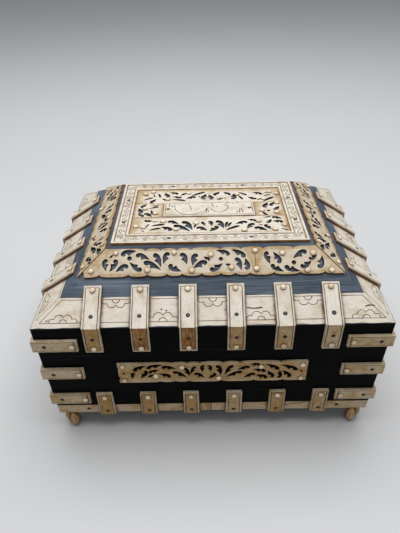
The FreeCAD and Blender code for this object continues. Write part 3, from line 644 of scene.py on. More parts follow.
# Ebonised wood: black and its streaks, the painted sheen and dust that it takes on the roof, scratches,
# rubbed edges, bare wood
BLACK = (0.001, 0.001, 0.0012)
BLACK_STREAK = (0.0035, 0.0037, 0.0042)
ROOF_SHEEN_AND_DUST = (0.042, 0.057, 0.08)
ROOF_SHEEN_STREAK = (0.18, 0.22, 0.275)
ROOF_SHEEN_DARK = (0.035, 0.04, 0.05)
ROOF_SHEEN_PALE = (0.22, 0.25, 0.29)
SCRATCH = (0.09, 0.095, 0.105)
RUBBED = (0.1, 0.075, 0.055)
BARE = (0.16, 0.075, 0.03)
BARE_STREAK = (0.34, 0.19, 0.085)

# Wood whose normal points this far back towards the middle of the box is inside it
INSIDE_LIMIT = -0.004


def wood_material(name, grain_factors):
    """Ebonised wood: black outside with scratches and rubbed edges, with a painted sheen and dust above, and
    left brown inside.
    """
    shader = Shader(name)
    here = shader.node("TexCoord", {}, "Object")
    normal = shader.node("TexCoord", {}, "Normal")
    grain = shader.stretch(here, tuple(factor / MM for factor in grain_factors))
    streaks = shader.noise(grain, 0.9, 7.0, 0.62)
    scratches = shader.noise(shader.stretch(grain, (0.5, 2.2, 2.2)), 0.9, 3.0)
    worn = shader.noise(here, 14.0, 3.0)
    from_seam = shader.node("VectorMath", {0: here, 1: (0, 0, SEAM * MM)}, operation="SUBTRACT")
    facing = shader.node("VectorMath", {0: normal, 1: from_seam}, "Value", operation="DOT_PRODUCT")
    inside = shader.node("Math", {0: facing, 1: INSIDE_LIMIT}, operation="LESS_THAN")
    upward = shader.span(shader.node("SeparateXYZ", {0: normal}, "Z"), 0.35, 0.75)
    on_roof = shader.span(shader.node("SeparateXYZ", {0: here}, "Z"), (EAVE - 2) * MM, (EAVE - 1) * MM)
    edges = shader.span(shader.crevices(0.0012, inside=True), 0.3, 0.7)
    # The upward faces above the eave take a pale blue-grey: a painted sheen of the light above, with dust.
    sheen_and_dust = shader.layers(
        ROOF_SHEEN_AND_DUST,
        (shader.span(streaks, 0.34, 0.7), ROOF_SHEEN_STREAK),
        # Large patches make the painted sheen darker and paler here and there.
        (shader.span(worn, 0.4, 0.62, 0.0, 0.4), ROOF_SHEEN_DARK),
        (shader.span(worn, 0.46, 0.3, 0.0, 0.5), ROOF_SHEEN_PALE))
    black = shader.layers(
        BLACK,
        (shader.span(streaks, 0.4, 0.75), BLACK_STREAK),
        (shader.product(upward, on_roof), sheen_and_dust),
        (shader.span(scratches, 0.66, 0.76, 0.0, 0.45), SCRATCH),
        (shader.product(edges, shader.span(streaks, 0.54, 0.68)), RUBBED))
    brown = shader.mix(shader.span(streaks, 0.32, 0.72), BARE, BARE_STREAK)
    rough = shader.span(streaks, 0.3, 0.75, 0.3, 0.52)
    return shader.finish(
        Base_Color=shader.mix(inside, black, brown), Roughness=rough, Specular_IOR_Level=0.03,
        Normal=shader.bump(streaks, 0.3, 0.00012))


def metal_material(name, bright, dull, metallic, rough):
    """Old metal with tarnish in patches."""
    shader = Shader(name)
    here = shader.node("TexCoord", {}, "Object")
    patches = shader.noise(here, 420.0, 5.0, 0.65)
    colour = shader.mix(shader.span(patches, 0.35, 0.65), bright, dull)
    roughness = shader.span(patches, 0.3, 0.7, rough, rough + 0.25)
    return shader.finish(
        Base_Color=colour, Metallic=metallic, Roughness=roughness, Normal=shader.bump(patches, 0.2, 0.0001))


BONE = bone_material("plate_bone", (0.82, 0.765, 0.66), (0.43, 0.275, 0.092))
WALL_BONE = bone_material("wall_bone", (0.82, 0.765, 0.66), (0.46, 0.295, 0.11), gloss=0.08)
# On the pegs the short reach paints shade round the foot of each dome, with dirt.
PEG_BONE = bone_material("peg_bone", (0.98, 0.83, 0.63), (0.66, 0.41, 0.18), shade_and_dirt_reach=0.0014)
FOOT_BONE = bone_material("foot_bone", (0.62, 0.41, 0.21), (0.32, 0.155, 0.055), shade_and_dirt_reach=0.004, gloss=0.08)
LINE = line_material()
WOOD_ALONG_X = wood_material("black_wood_x", (0.03, 1.0, 1.0))
WOOD_ALONG_Y = wood_material("black_wood_y", (1.0, 0.03, 1.0))
IRON = metal_material("nail_iron", (0.02, 0.016, 0.014), (0.006, 0.004, 0.003), 0.2, 0.5)
WORN_IRON = metal_material("nail_core", (0.13, 0.14, 0.17), (0.05, 0.05, 0.06), 0.3, 0.4)
BRASS = metal_material("hinge_brass", (0.5, 0.36, 0.14), (0.2, 0.13, 0.06), 1.0, 0.35)


def dress_cad_nodes():
    """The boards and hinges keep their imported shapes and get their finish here."""
    for name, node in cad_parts.items():
        if name.startswith("hinge_"):
            material = BRASS
        elif name.endswith(("_left", "_right", "_left_board", "_right_board")):
            material = WOOD_ALONG_Y
        else:
            material = WOOD_ALONG_X
        node.data.materials.clear()
        node.data.materials.append(material)


# Bone straps and corner straps: sizes, spreads of what varies by hand, and tones

STRAP_BEVEL = 0.35
STRAP_WIDENING = (-0.35, 0.1)
STRAP_TURN = 0.7
FIELD_RISE = 0.02
LINE_INSET = 1.65
LINE_SPREAD = 0.3
END_LINE_INSET = 2.2
TOP_LINE_INSET = 0.8
LONG_LINES = (0.55, 0.85)
CROSS_LINES = (0.45, 0.65)
WALL_LINE = 1.35
WALL_WEAR = 0.85
SHADED_SIDE = 2.7
WALL_SIDE = 0.45
# Tones are higher on the walls than on the slopes: partly stain, partly painted shade on faces that the
# overhead light reaches less.
SLOPE_BORDER = (0.1, 0.3)
SLOPE_FIELD = (0.0, 0.12)
BASE_BORDER = (0.55, 0.75)
BASE_FIELD = (0.95, 1.35)
WALL_BORDER = (0.6, 0.75)
CORNER_FIELD = (0.6, 1.0)
CORNER_END_LINES = ((1.9, 0.95), (3.0, 0.45))
CORNER_OUTER_INSET = 1.0
CORNER_LOW_INSET = 1.5
CORNER_LINE = 0.4
FINE_WOBBLE = 0.1

# Tones of the skirt straps from left to right, the second and third smoked the most
SKIRT_TONES = (1.15, 1.85, 2.0, 1.05, 0.9, 0.8)


def span_at(part, share):
    """The span of a plate up its face at a share of its thickness."""
    return tuple(low + (high - low) * share for low, high in zip(part.low, part.high))


def stretched(shell, part):
    """Fits a shell drawn on a plate's front to the slanted ends that the plate has."""
    front = part.high
    made = []
    for u, v, w in shell.points:
        span = span_at(part, (w - part.w0) / (part.w1 - part.w0))
        share = (v - front[0]) / (front[1] - front[0])
        made.append((u, span[0] + share * (span[1] - span[0]), w))
    return shell._replace(points=made)


def tilted(place, u, v, degrees):
    """A place turned a little about a point of its face."""
    pivot = Matrix.Translation((u, v, 0))
    return place @ pivot @ Matrix.Rotation(math.radians(degrees), 4, "Z") @ pivot.inverted()


def field(piece, part, corners, tone, upright):
    """The stained field inside a border line, a hair above the plate that it belongs to."""
    shell = plate(corners, [], part.w1 - LINE_DEPTH, part.w1 + FIELD_RISE, FIELD_RISE / 2)
    piece.add(stretched(shell, part), piece.place, tone=tone, upright=upright)


def strap(piece, part, face, tones, open_end, worn=0.0):
    """An upright strap with an engraved border, which stays open at the end that meets another strap."""
    side, border, centre = tones
    low, high = part.high
    width = dice.uniform(*STRAP_WIDENING)
    left = part.u0 - width / 2
    right = part.u1 + width / 2
    place = tilted(face, (left + right) / 2, (low + high) / 2, dice.uniform(-STRAP_TURN, STRAP_TURN))
    outline = hand_outline(rectangle(left, right, low, high))
    shell = stretched(plate(outline, [], part.w0, part.w1, STRAP_BEVEL), part)
    piece.add(shell, place, tone=border, side=side, worn=worn, upright=True)
    piece.draws_on(place, part.w1)
    inset = LINE_INSET + dice.uniform(-LINE_SPREAD, LINE_SPREAD)
    lines = (left + inset, right - inset)
    if open_end == "low":
        closed_end = high - (TOP_LINE_INSET if worn else END_LINE_INSET)
        ends = (low, closed_end)
    else:
        closed_end = low + END_LINE_INSET
        ends = (closed_end, high)
    field(piece, part, rectangle(*lines, *ends), centre, True)
    heavy = WALL_LINE if worn else 1.0
    for u in lines:
        piece.rule((u, ends[0]), (u, ends[1]), heavy * dice.uniform(*LONG_LINES))
    piece.rule((lines[0], closed_end), (lines[1], closed_end), heavy * dice.uniform(*CROSS_LINES))


def strap_rows(side):
    """The slope straps and the short base straps of one side."""
    rows = (("lid", "slope", SLOPES[side], BONE, (SHADED_SIDE, SLOPE_BORDER, SLOPE_FIELD), 0.0),
            ("base", "base", WALLS[side], WALL_BONE, (WALL_SIDE, BASE_BORDER, BASE_FIELD), WALL_WEAR))
    for body, kind, face, bone, (edge, border, centre), worn in rows:
        node = f"{body}_straps_{side}"
        row = Piece(bone, LINE)
        for points in islands(node):
            tones = edge, dice.uniform(*border), dice.uniform(*centre)
            strap(row, extent(points, face), face, tones, "low", worn)
        row.make(f"{side}_{kind}_straps", body, [node])


def skirt_straps():
    piece = Piece(WALL_BONE, LINE)
    solids = islands("lid_skirt_straps")
    for side, face in WALLS.items():
        own = [extent(points, face) for points in solids if own_side(points) == side]
        for part, centre in zip(sorted(own), SKIRT_TONES):
            tones = WALL_SIDE, dice.uniform(*WALL_BORDER), centre
            strap(piece, part, face, tones, "high", WALL_WEAR)
    piece.make("skirt_straps", "lid", ["lid_skirt_straps"])


def corner_strap(piece, part, face):
    """A level strap at a corner, with a double line across its inner end and a line along each edge."""
    low, high = part.high
    outline = hand_outline(rectangle(part.u0, part.u1, low, high), FINE_WOBBLE)
    shell = plate(outline, [], part.w0, part.w1, STRAP_BEVEL)
    piece.add(shell, face, tone=dice.uniform(*WALL_BORDER), side=WALL_SIDE, worn=WALL_WEAR)
    piece.draws_on(face, part.w1)
    inner, outer = (part.u0, part.u1) if part.u1 > -part.u0 else (part.u1, part.u0)
    way = 1 if outer > inner else -1
    ends = (inner + way * CORNER_END_LINES[-1][0], outer - way * CORNER_OUTER_INSET)
    rows = (low + CORNER_LOW_INSET, high - TOP_LINE_INSET)
    field(piece, part, rectangle(*ends, *rows), dice.uniform(*CORNER_FIELD), False)
    for inset, width in CORNER_END_LINES:
        u = inner + way * inset
        piece.rule((u, low), (u, high), width)
    for v in rows:
        piece.rule((ends[0], v), (ends[1], v), CORNER_LINE)


def corner_straps(node, name, body):
    piece = Piece(WALL_BONE, LINE)
    for points in islands(node):
        face = WALLS[own_side(points)]
        corner_strap(piece, extent(points, face), face)
    piece.make(name, body, [node])


# Bone bands

BAND_BEVEL = 0.25
BAND_CHIPS = 0.9
BAND_WOBBLE = 0.3
BAND_TONE = 0.08
BAND_LINE = 0.5
BAND_LINE_LOW = 4.6
BAND_LINE_HIGH = 2.1
HIP_LINE = 3.4
CLOUD_CUSPS = ((-12, 0.2), (-7.6, 3.2), (0, 4.9), (7.6, 3.2), (12, 0.2))
CLOUD_BULGES = (2.0, 3.3, 3.3, 2.0)
CLOUD_EYE = 3.2
CLOUD_LINE = 0.6
CLOUD_SHIFT = 0.8
CLOUD_SCALE = (0.92, 1.06)
END_CLOUDS = (-23, 27.5)
EAVE_DOTS = ((-136.7, 6.5), (-42, 15), (-38, 14), (11, 13.5))
EAVE_STREAKS = (((29, 15.4), (35, 14.6), (42, 15.2)), ((127, 14.6), (131, 15.6), (135, 15)))
DOT_LINE = 0.7
STREAK_LINE = 1.2


def bulge(start, end, sagitta, steps=7):
    """An arc from one point to another that swells to the left of its way by the sagitta."""
    start = Vector(start)
    end = Vector(end)
    chord = (end - start).length
    along = (end - start) / chord
    across = Vector((-along.y, along.x))
    radius = (chord ** 2 / 4 + sagitta ** 2) / (2 * sagitta)
    half_angle = math.asin(min(1, chord / 2 / radius))
    made = []
    for step in range(steps + 1):
        angle = half_angle * (2 * step / steps - 1)
        lift = radius * math.cos(angle) - (radius - sagitta)
        made.append(tuple((start + end) / 2 + along * radius * math.sin(angle) + across * lift))
    return made


def cloud(piece, centre, base, rise):
    """A scalloped cloud that stands on a border line or hangs from it, with a half-round eye."""
    path = []
    for start, end, sagitta in zip(CLOUD_CUSPS, CLOUD_CUSPS[1:], CLOUD_BULGES):
        path += bulge(start, end, sagitta)[:-1]
    path.append(CLOUD_CUSPS[-1])
    eye = arc((0, 0), CLOUD_EYE, 180, 0)
    shift = dice.uniform(-CLOUD_SHIFT, CLOUD_SHIFT)
    scale = dice.uniform(*CLOUD_SCALE)
    for line in (path, eye):
        piece.draw([(centre + shift + u * scale, base + rise * v * scale) for u, v in line], CLOUD_LINE)


def eave_band(side):
    """The engraved band along the eave, mitred at the hips."""
    face = SLOPES[side]
    part = whole_extent(f"eave_band_{side}", face)
    top = part.high[1]
    low_half = slope_half(side, 0)
    high_half = slope_half(side, top)
    outline = hand_edge((-low_half, 0), (low_half, 0), 0.0)
    ragged = [(u, dice.uniform(0.0, BAND_CHIPS)) for u, _ in outline[1:]]
    outline = outline[:1] + ragged + [(low_half, 0)]
    outline += hand_edge((high_half, top), (-high_half, top), BAND_WOBBLE)
    outline.append((-high_half, top))
    piece = Piece(BONE, LINE)
    piece.add(plate(outline, [], part.w0, part.w1, BAND_BEVEL), face, tone=BAND_TONE)
    piece.draws_on(face, part.w1)
    rows = (BAND_LINE_LOW, top - BAND_LINE_HIGH)
    ends = [slope_half(side, v) - HIP_LINE for v in rows]
    for v, end in zip(rows, ends):
        piece.rule((-end, v), (end, v), BAND_LINE)
    for sign in (-1, 1):
        piece.rule((sign * ends[0], rows[0]), (sign * ends[1], rows[1]), BAND_LINE)
    centres = centres_along(f"lid_straps_{side}", face)
    for index, (before, after) in enumerate(zip(centres, centres[1:])):
        base, rise = (rows[0], 1) if index % 2 else (rows[1], -1)
        cloud(piece, (before + after) / 2, base, rise)
    for strap_line, offset in zip((centres[0], centres[-1]), END_CLOUDS):
        cloud(piece, strap_line + offset, rows[0], 1)
    if side == "front":
        for dot in EAVE_DOTS:
            piece.dot(dot, DOT_LINE)
        for streak in EAVE_STREAKS:
            piece.draw(open_curve(streak), STREAK_LINE)
    piece.make(f"{side}_eave_band", "lid", [f"eave_band_{side}"])


# Marks on a plinth band: places along it counted in straps, and shares of its height
PLINTH_JOINT = 2.47
PLINTH_PATCH = 2.3
PLINTH_DOT = (1.74, 0.53)
PLINTH_CRACK = ((4.16, 0.43), (4.3, 0.66), (4.5, 0.78), (4.71, 0.95))

# Sizes, tones and line widths of the plinth bands
PLINTH_WOBBLE = 0.2
# The plinth's tone is partly stain and partly painted shade on the wall.
PLINTH_TONE = 0.75
PATCH_TONE = 1.2
PATCH_SLANT = 3
PATCH_INSET = 0.3
JOINT_LINE = 0.7
HOLE_LINE = 0.9
CRACK_LINE = 0.8


def along_straps(centres, count):
    """The place along a wall at a number of straps from its first one."""
    first = int(count)
    return centres[first] + (count - first) * (centres[first + 1] - centres[first])


def plinth_band(side):
    """The plain band along the foot of a wall, pieced once, and cracked on the long sides."""
    face = WALLS[side]
    part = whole_extent(f"plinth_band_{side}", face)
    low, high = part.high
    low_half = wall_half(side, low)
    high_half = wall_half(side, high)
    corners = [(-low_half, low), (low_half, low), (high_half, high), (-high_half, high)]
    shell = plate(hand_outline(corners, PLINTH_WOBBLE), [], part.w0, part.w1, BAND_BEVEL)
    piece = Piece(WALL_BONE, LINE)
    piece.add(shell, face, tone=PLINTH_TONE, worn=WALL_WEAR)
    piece.draws_on(face, part.w1)
    centres = centres_along(f"base_straps_{side}", face)

    def mark(count, share):
        return along_straps(centres, count), low + share * (high - low)

    joint = along_straps(centres, PLINTH_JOINT)
    patch = along_straps(centres, PLINTH_PATCH)
    corners = rectangle(patch, joint, low + PATCH_INSET, high - PATCH_INSET)
    corners[0] = (patch + PATCH_SLANT, low + PATCH_INSET)
    field(piece, part, corners, PATCH_TONE, False)
    piece.rule((joint, low), (joint, high), JOINT_LINE)
    piece.dot(mark(*PLINTH_DOT), HOLE_LINE)
    if len(centres) > PLINTH_CRACK[-1][0] + 1:
        piece.draw(open_curve([mark(*place) for place in PLINTH_CRACK]), CRACK_LINE)
    piece.make(f"{side}_plinth_band", "base", [f"plinth_band_{side}"])


# Fretwork

FRET_BEVEL = 0.15

# Leaves of a long slope fret: tip and head, along and up a slope whose strip begins at SLOPE_DRAWING,
# and the side of the back
SLOPE_LEAVES = (
    (-88.8, 50.4, -89.3, 59.2, 1), (-85.5, 49.8, -81.3, 58.8, -1), (-79.7, 49, -71.3, 53.2, 1),
    (-82.6, 65.5, -87.2, 61.2, 1), (-64.7, 67.2, -75.1, 64.2, -1), (-53.4, 59.7, -62.6, 63.2, -1),
    (-68, 56.5, -59.7, 50.3, -1), (-43.8, 50.4, -55.5, 56.1, -1), (-43, 53.4, -47.8, 63.4, -1),
    (-39.7, 56.1, -36.3, 64.6, 1), (-20.9, 55.3, -24.9, 63.6, -1), (-26, 48.8, -34.4, 53.6, 1),
    (-15.1, 54, -12.2, 62.8, 1), (-13.8, 51.1, -4.5, 55.5, 1), (-6.5, 61, -1, 57.6, 1),
    (8.8, 54.2, 0.3, 49.5, 1), (5.1, 66.9, 15.7, 62.6, 1), (18.8, 66.9, 28, 61, 1),
    (10.5, 54.6, 18, 51.6, 1), (25.1, 49.2, 21.8, 58.4, -1), (29.3, 58.6, 30.2, 49.2, 1),
    (50.1, 54.6, 48, 63.8, 1), (53.8, 63.6, 57.8, 55, 1), (61.5, 62.6, 68.4, 60.2, 1),
    (71.3, 59, 80.7, 64, 1), (60.9, 46.9, 51.8, 52.4, 1), (74.3, 46.9, 63.4, 50.9, 1),
    (84.3, 55.2, 76.8, 51, 1), (89.9, 61, 84.2, 58, 1), (94.3, 59.2, 91.3, 50.2, 1),
    (100.1, 57.6, 104.7, 49.2, -1),
)
SLOPE_DRAWING = 43.8
SLOPE_DOTS = ((-69.3, 60.8, 2.0), (8.6, 58.9, 1.8), (40.3, 54.8, 2.0), (70.3, 54.4, 1.9))
SLOPE_NOTCHES_LOW = (-94.7, -70, -53.8, -37.2, -24.3, -8, 8.4, 20.5, 33, 53, 75, 96)
SLOPE_NOTCHES_HIGH = (-56, -43, -29, -16.8, 8, 26, 45, 71)

# Leaves of a wall fret panel: tip and head, along and up a wall where its middle is at PANEL_DRAWING,
# and the side of the back
PANEL_LEAVES = (
    (-71.3, 72.8, -69.6, 79.2, 1), (-59.3, 88.2, -68.4, 82.6, -1), (-63.6, 73.2, -59.3, 81.2, -1),
    (-44.3, 89.2, -56.3, 85.6, -1), (-47.1, 82.8, -56.1, 79.2, -1), (-58.9, 72.6, -51.5, 76.4, 1),
    (-33.2, 84.4, -43.4, 85.8, -1), (-46.6, 77.2, -38.7, 73.4, 1), (-23.7, 72.8, -33.9, 79.2, -1),
    (-20.7, 74.8, -25.2, 84.4, -1), (-19.3, 76.9, -15, 86.4, 1), (-8.6, 80.4, -8, 87.4, 1),
    (-8.2, 72.4, -15.4, 76.8, -1), (-2, 80.8, -3.4, 87.2, -1), (-3.2, 71.4, 1.6, 77, -1),
    (6.9, 76.2, 4.1, 86.4, -1), (11.6, 76.2, 17.1, 86.1, 1), (12.6, 72.6, 24.6, 78.2, 1),
    (23, 81.8, 31.6, 84.6, 1), (33, 88.6, 41.3, 87.2, 1), (36.4, 81.2, 45.5, 79, 1),
    (28.4, 71.2, 36.8, 75.4, 1), (39.2, 73.9, 47.5, 70.4, 1), (47.4, 87.8, 57.1, 81.7, 1),
    (48.5, 78.8, 53.2, 71.4, 1), (59.1, 79.8, 59.1, 70.6, 1), (62.1, 79.3, 68.2, 71.3, 1),
    (61.4, 86.4, 73.2, 80.7, 1),
)
PANEL_DRAWING = 78.9
PANEL_NOTCHES_LOW = (-47, -33.5, -21.4, 8, 37, 62.6)
PANEL_NOTCHES_HIGH = (-35.7, -22, -11.4, 9.4, 24, 60)

# Nail holes in the ends of a panel, and its broken end: millimetres inward and shares of its height
PANEL_NAIL_HOLES = 4.9
PANEL_NAIL_RADIUS = 1.1
PANEL_NAIL_ARC = 340
PANEL_NAIL_STEPS = 15
PANEL_CHIPS = ((0.2, 0.78), (1.3, 0.73), (0.1, 0.68), (0.1, 0.34), (2.0, 0.28), (0.9, 0.2), (0.1, 0.15))

# Openings of the top fret: tip and head on the top, and the side of the back, or 0 for a plain seed
TOP_LEAVES = (
    (-54.6, -36.7, -46, -33.5, 0), (-53, -29.2, -43, -27, 0), (-44.2, -31.5, -36, -37.2, 1),
    (-29.5, -26.2, -37.7, -22.2, -1), (-19.2, -38.7, -31.5, -30, -1), (-16.8, -36.2, -24, -23.5, -1),
    (-14.2, -33.6, -12.6, -28.4, 0), (-3.2, -38.7, -11, -33.8, -1), (-4, -29.2, -6, -23.6, 1),
    (1.7, -30, 0, -23, -1), (0, -39.4, 6.2, -32.2, -1), (12, -34.2, 7.5, -23, -1),
    (14.8, -33.4, 16.5, -25, 0), (16.6, -33.6, 20.4, -25, 0), (15.5, -38.4, 26, -32, 0),
    (25.2, -27.8, 34, -25.5, 1), (36.5, -20.5, 42.5, -23, 1), (35, -36.2, 40.5, -28.8, 1),
    (51.2, -40.2, 42.2, -35.8, -1), (56, -37.4, 52, -30.6, 1), (45, -29.4, 48.6, -31.2, 0),
    (57.5, -21, 53.5, -26.4, 1), (59.2, -24.4, 67.2, -26, 1), (67.5, -19.8, 60, -17.4, -1),
    (64.8, -11, 69.6, -12.5, 0), (68.2, 4, 63.4, -1.6, 1), (65, 12, 61.5, 5.5, -1),
    (58.4, 11, 55, 2.8, -1), (51.8, -6.8, 55.2, -11.6, -1), (51.6, -17.4, 57.4, -16, 0),
    (55.6, 15.4, 64.6, 22.6, 0), (56.4, 26.2, 62.4, 28.4, 0), (46.2, 33.8, 53.6, 30.2, 1),
    (-68.2, -7, -63.6, -11.6, 1), (-68.6, 3.8, -66.6, -4.8, 1), (-61.4, 12, -65.4, 6.2, -1),
    (-52.8, 22.6, -56.8, 15, -1), (-64.6, 21.4, -57, 26, 0), (-55.4, -12, -61.6, -6.6, -1),
    (-53.2, -20.2, -60, -19, 1), (-49, -20.4, -52.6, -22.6, 0), (-56, 0.5, -55, -7.5, 0),
    (-51, 34.4, -49, 27.2, 0), (67.5, 23, 62.5, 15.8, -1), (65.5, -37.5, 70, -40.5, 0),
    (48.6, 17.4, 53, 20.6, 0), (56.2, 31.4, 60.2, 33.2, 0), (-57.6, 3.6, -50.2, 6.4, 0),
    (-58.4, -31, -56.4, -26.6, 0), (-56, 33, -54.6, 28.4, 0), (-64.6, 29.6, -60.8, 30.4, 0),
    (-63.4, -36.8, -60, -38.4, 0), (-44.6, 35.4, -41.4, 27.4, 1), (-39, 36.6, -31.8, 33.4, 1),
    (-27.6, 30, -22.8, 33.8, 1), (-16, 29.2, -4.8, 36, 0), (-47, 24.2, -43, 19.6, 1),
    (-35.2, 28.4, -28, 26.2, -1), (-35.2, 21.4, -24.4, 19.2, 0), (-21.8, 23, -13.8, 25.6, 1),
    (-2, 31.5, -4.5, 22, -1), (0.5, 30, 2.5, 21.5, 1), (12, 36, 7, 29.5, -1),
    (16, 35.5, 21.5, 30, 1), (14.5, 23.5, 9.5, 21, 1), (25.5, 31, 24.5, 21.5, 1),
    (30.5, 27.5, 34, 20.5, 0), (31.5, 34.5, 38.5, 29, 0), (40.5, 24.5, 47.5, 21, -1),
)
TOP_DOTS = ((57.6, -4.4, 1.5), (-9.0, 27.6, 1.0), (17.0, 22.5, 0.8))

# Leaves grow broader with their length up to these lengths
SLOPE_LEAF_BROAD = 9.0
PANEL_LEAF_BROAD = 8.0
TOP_LEAF_BROAD = 11.0

# Leaves are cut longer than they are drawn, vary in breadth, and are tried smaller where bone has to stay
LEAF_LENGTH = 1.25
LEAF_SPREAD = (0.92, 1.08)
LEAF_TRIES = (1.0, 0.92, 0.84, 0.76, 0.68, 0.6, 0.5)
LEAF_WALL = 0.4
EYE_SIDES = 24
PEG_ROOM = 0.48
PEG_ROOM_SIDES = 12

# Room along the edges, depths of the scallops, and tones
FRET_EDGE = 2.6
HIP_GAP = 0.6
TRIMMED_CORNER = 5.5
SLOPE_SCALLOP = 2.2
PANEL_SCALLOP = 1.7
FRET_TONE = (0.36, 0.46)
FRET_RIM = 0.95
# The panel's tones are partly stain and partly painted shade on the wall.
PANEL_TONE = 1.05
PANEL_RIM = 0.8
PANEL_SIDE = 0.6
TOP_TONE = (0.0, 0.06)
TOP_RIM_SHADE = 1.0


def reach_between(points, loop):
    """The least distance from the points to the edges of a loop."""
    starts = numpy.array(loop)
    edges = numpy.roll(starts, -1, axis=0) - starts
    offsets = numpy.array(points)[:, None] - starts
    shares = numpy.clip((offsets * edges).sum(2) / (edges ** 2).sum(1), 0, 1)
    return numpy.linalg.norm(offsets - shares[..., None] * edges, axis=2).min()


def is_clear(loop, others):
    """Whether enough bone stays between an opening and the others."""
    gaps = [min(reach_between(loop, other), reach_between(other, loop)) for other in others]
    return min(gaps) > LEAF_WALL


def peg_loops(face):
    """Circles round the pegs of a face, which the openings leave standing."""
    found = [head for group in PEG_HEADS.values() for head in group if head.face == face]
    return [circle((head.u, head.v), head.radius * PEG_ROOM, PEG_ROOM_SIDES) for head in found]


def pierced(leaves, dots, broad, keeps, outline, face):
    """The openings that a plate has room for, each leaf made smaller where it would meet something."""
    holes = []
    taken = [outline] + peg_loops(face)
    for u, v, radius in dots:
        dot = circle((u, v), radius, EYE_SIDES)
        if keeps(u, v) and is_clear(dot, taken):
            holes.append(dot)
    for *tip, head_u, head_v, back in leaves:
        if not (keeps(*tip) and keeps(head_u, head_v)):
            continue
        breadth = broad * dice.uniform(*LEAF_SPREAD)
        for size in LEAF_TRIES:
            hole = cut_out(tip, (head_u, head_v), back, breadth, size * LEAF_LENGTH)
            if is_clear(hole, taken + holes):
                holes.append(hole)
                break
    return holes


def raised(leaves, rise):
    """The leaves moved up a face."""
    return [(u0, v0 + rise, u1, v1 + rise, back) for u0, v0, u1, v1, back in leaves]


def mirrored(leaves):
    """The leaves left of the middle, and the same again to the right of it."""
    left = [leaf for leaf in leaves if max(leaf[0], leaf[2]) < 0]
    return left + [(-u0, v0, -u1, v1, -back) for u0, v0, u1, v1, back in left]


def slope_fret(side):
    """The pierced strip high on a slope, scalloped along both edges and mitred at the hips."""
    face = SLOPES[side]
    piece = Piece(BONE, LINE)
    for points in islands(f"slope_fret_{side}"):
        part = extent(points, face)
        low, high = part.low

        def end(v, sign):
            """Where the plate ends at a distance up the slope: at its hip, or at the joint of the strip."""
            hip = slope_half(side, v) - HIP_GAP
            return min(part.u1, hip) if sign > 0 else max(part.u0, -hip)

        def keeps(u, v):
            return end(v, -1) + FRET_EDGE < u < end(v, 1) - FRET_EDGE

        trim = TRIMMED_CORNER if side == "front" and part.u0 < -end(high, 1) else 0.0
        outline = scalloped_strip((end(low, -1) + trim, end(low, 1)), (end(high, -1), end(high, 1)), part.low,
                                  (SLOPE_NOTCHES_LOW, SLOPE_NOTCHES_HIGH), SLOPE_SCALLOP)
        if trim:
            outline.append((end(low + trim, -1), low + trim))
        rise = low - SLOPE_DRAWING
        leaves = raised(SLOPE_LEAVES, rise)
        if side in ("left", "right"):
            leaves = mirrored(leaves)
        dots = [(u, v + rise, radius) for u, v, radius in SLOPE_DOTS]
        holes = pierced(leaves, dots, SLOPE_LEAF_BROAD, keeps, outline, face)
        shell = plate(outline, holes, part.w0, part.w1, FRET_BEVEL)
        flared = [(u * (1 + w * math.sin(SLOPE) / slope_half(side, v)), v, w) for u, v, w in shell.points]
        tone = dice.uniform(*FRET_TONE)
        piece.add(shell._replace(points=flared), face, tone=tone, rim=FRET_RIM, side=SHADED_SIDE)
    piece.make(f"{side}_slope_fret", "lid", [f"slope_fret_{side}"])


def wall_fret(side):
    """The pierced panel in the middle of a base wall."""
    face = WALLS[side]
    part = whole_extent(f"fret_panel_{side}", face)
    low, high = part.high
    ends = (part.u0, part.u1)
    outline = scalloped_strip(ends, ends, part.high, (PANEL_NOTCHES_LOW, PANEL_NOTCHES_HIGH), PANEL_SCALLOP)
    outline += [(part.u0 + inward, low + share * (high - low)) for inward, share in PANEL_CHIPS]

    def keeps(u, v):
        return part.u0 + 2 * FRET_EDGE < u < part.u1 - 2 * FRET_EDGE

    centre = (low + high) / 2
    leaves = raised(PANEL_LEAVES, centre - PANEL_DRAWING)
    holes = pierced(leaves, (), PANEL_LEAF_BROAD, keeps, outline, face)
    for u in (part.u0 + PANEL_NAIL_HOLES, part.u1 - PANEL_NAIL_HOLES):
        holes.append(arc((u, centre), PANEL_NAIL_RADIUS, 0, PANEL_NAIL_ARC, PANEL_NAIL_STEPS))
    piece = Piece(WALL_BONE, LINE)
    shell = plate(outline, holes, part.w0, part.w1, FRET_BEVEL)
    piece.add(shell, face, tone=PANEL_TONE, rim=PANEL_RIM, side=PANEL_SIDE, worn=WALL_WEAR)
    piece.make(f"{side}_fret_panel", "base", [f"fret_panel_{side}"])


def top_fret():
    """The four pierced plates round the plaque."""
    piece = Piece(BONE, LINE)
    for points in islands("top_fret"):
        part = extent(points, TOP)
        low, high = part.high
        edge = FRET_EDGE / 2

        def keeps(u, v):
            return part.u0 + edge < u < part.u1 - edge and low + edge < v < high - edge

        outline = rectangle(part.u0, part.u1, low, high)
        holes = pierced(TOP_LEAVES, TOP_DOTS, TOP_LEAF_BROAD, keeps, outline, TOP)
        shell = plate(outline, holes, part.w0, part.w1, FRET_BEVEL)
        # The darker rim tone on the plates' outer edges, where they meet the frame and the plaque, is painted
        # shade.
        piece.add(shell, TOP, tone=dice.uniform(*TOP_TONE), rim=TOP_RIM_SHADE)
    piece.make("top_fretwork", "lid", ["top_fret"])


# Top frame and its engraved vine

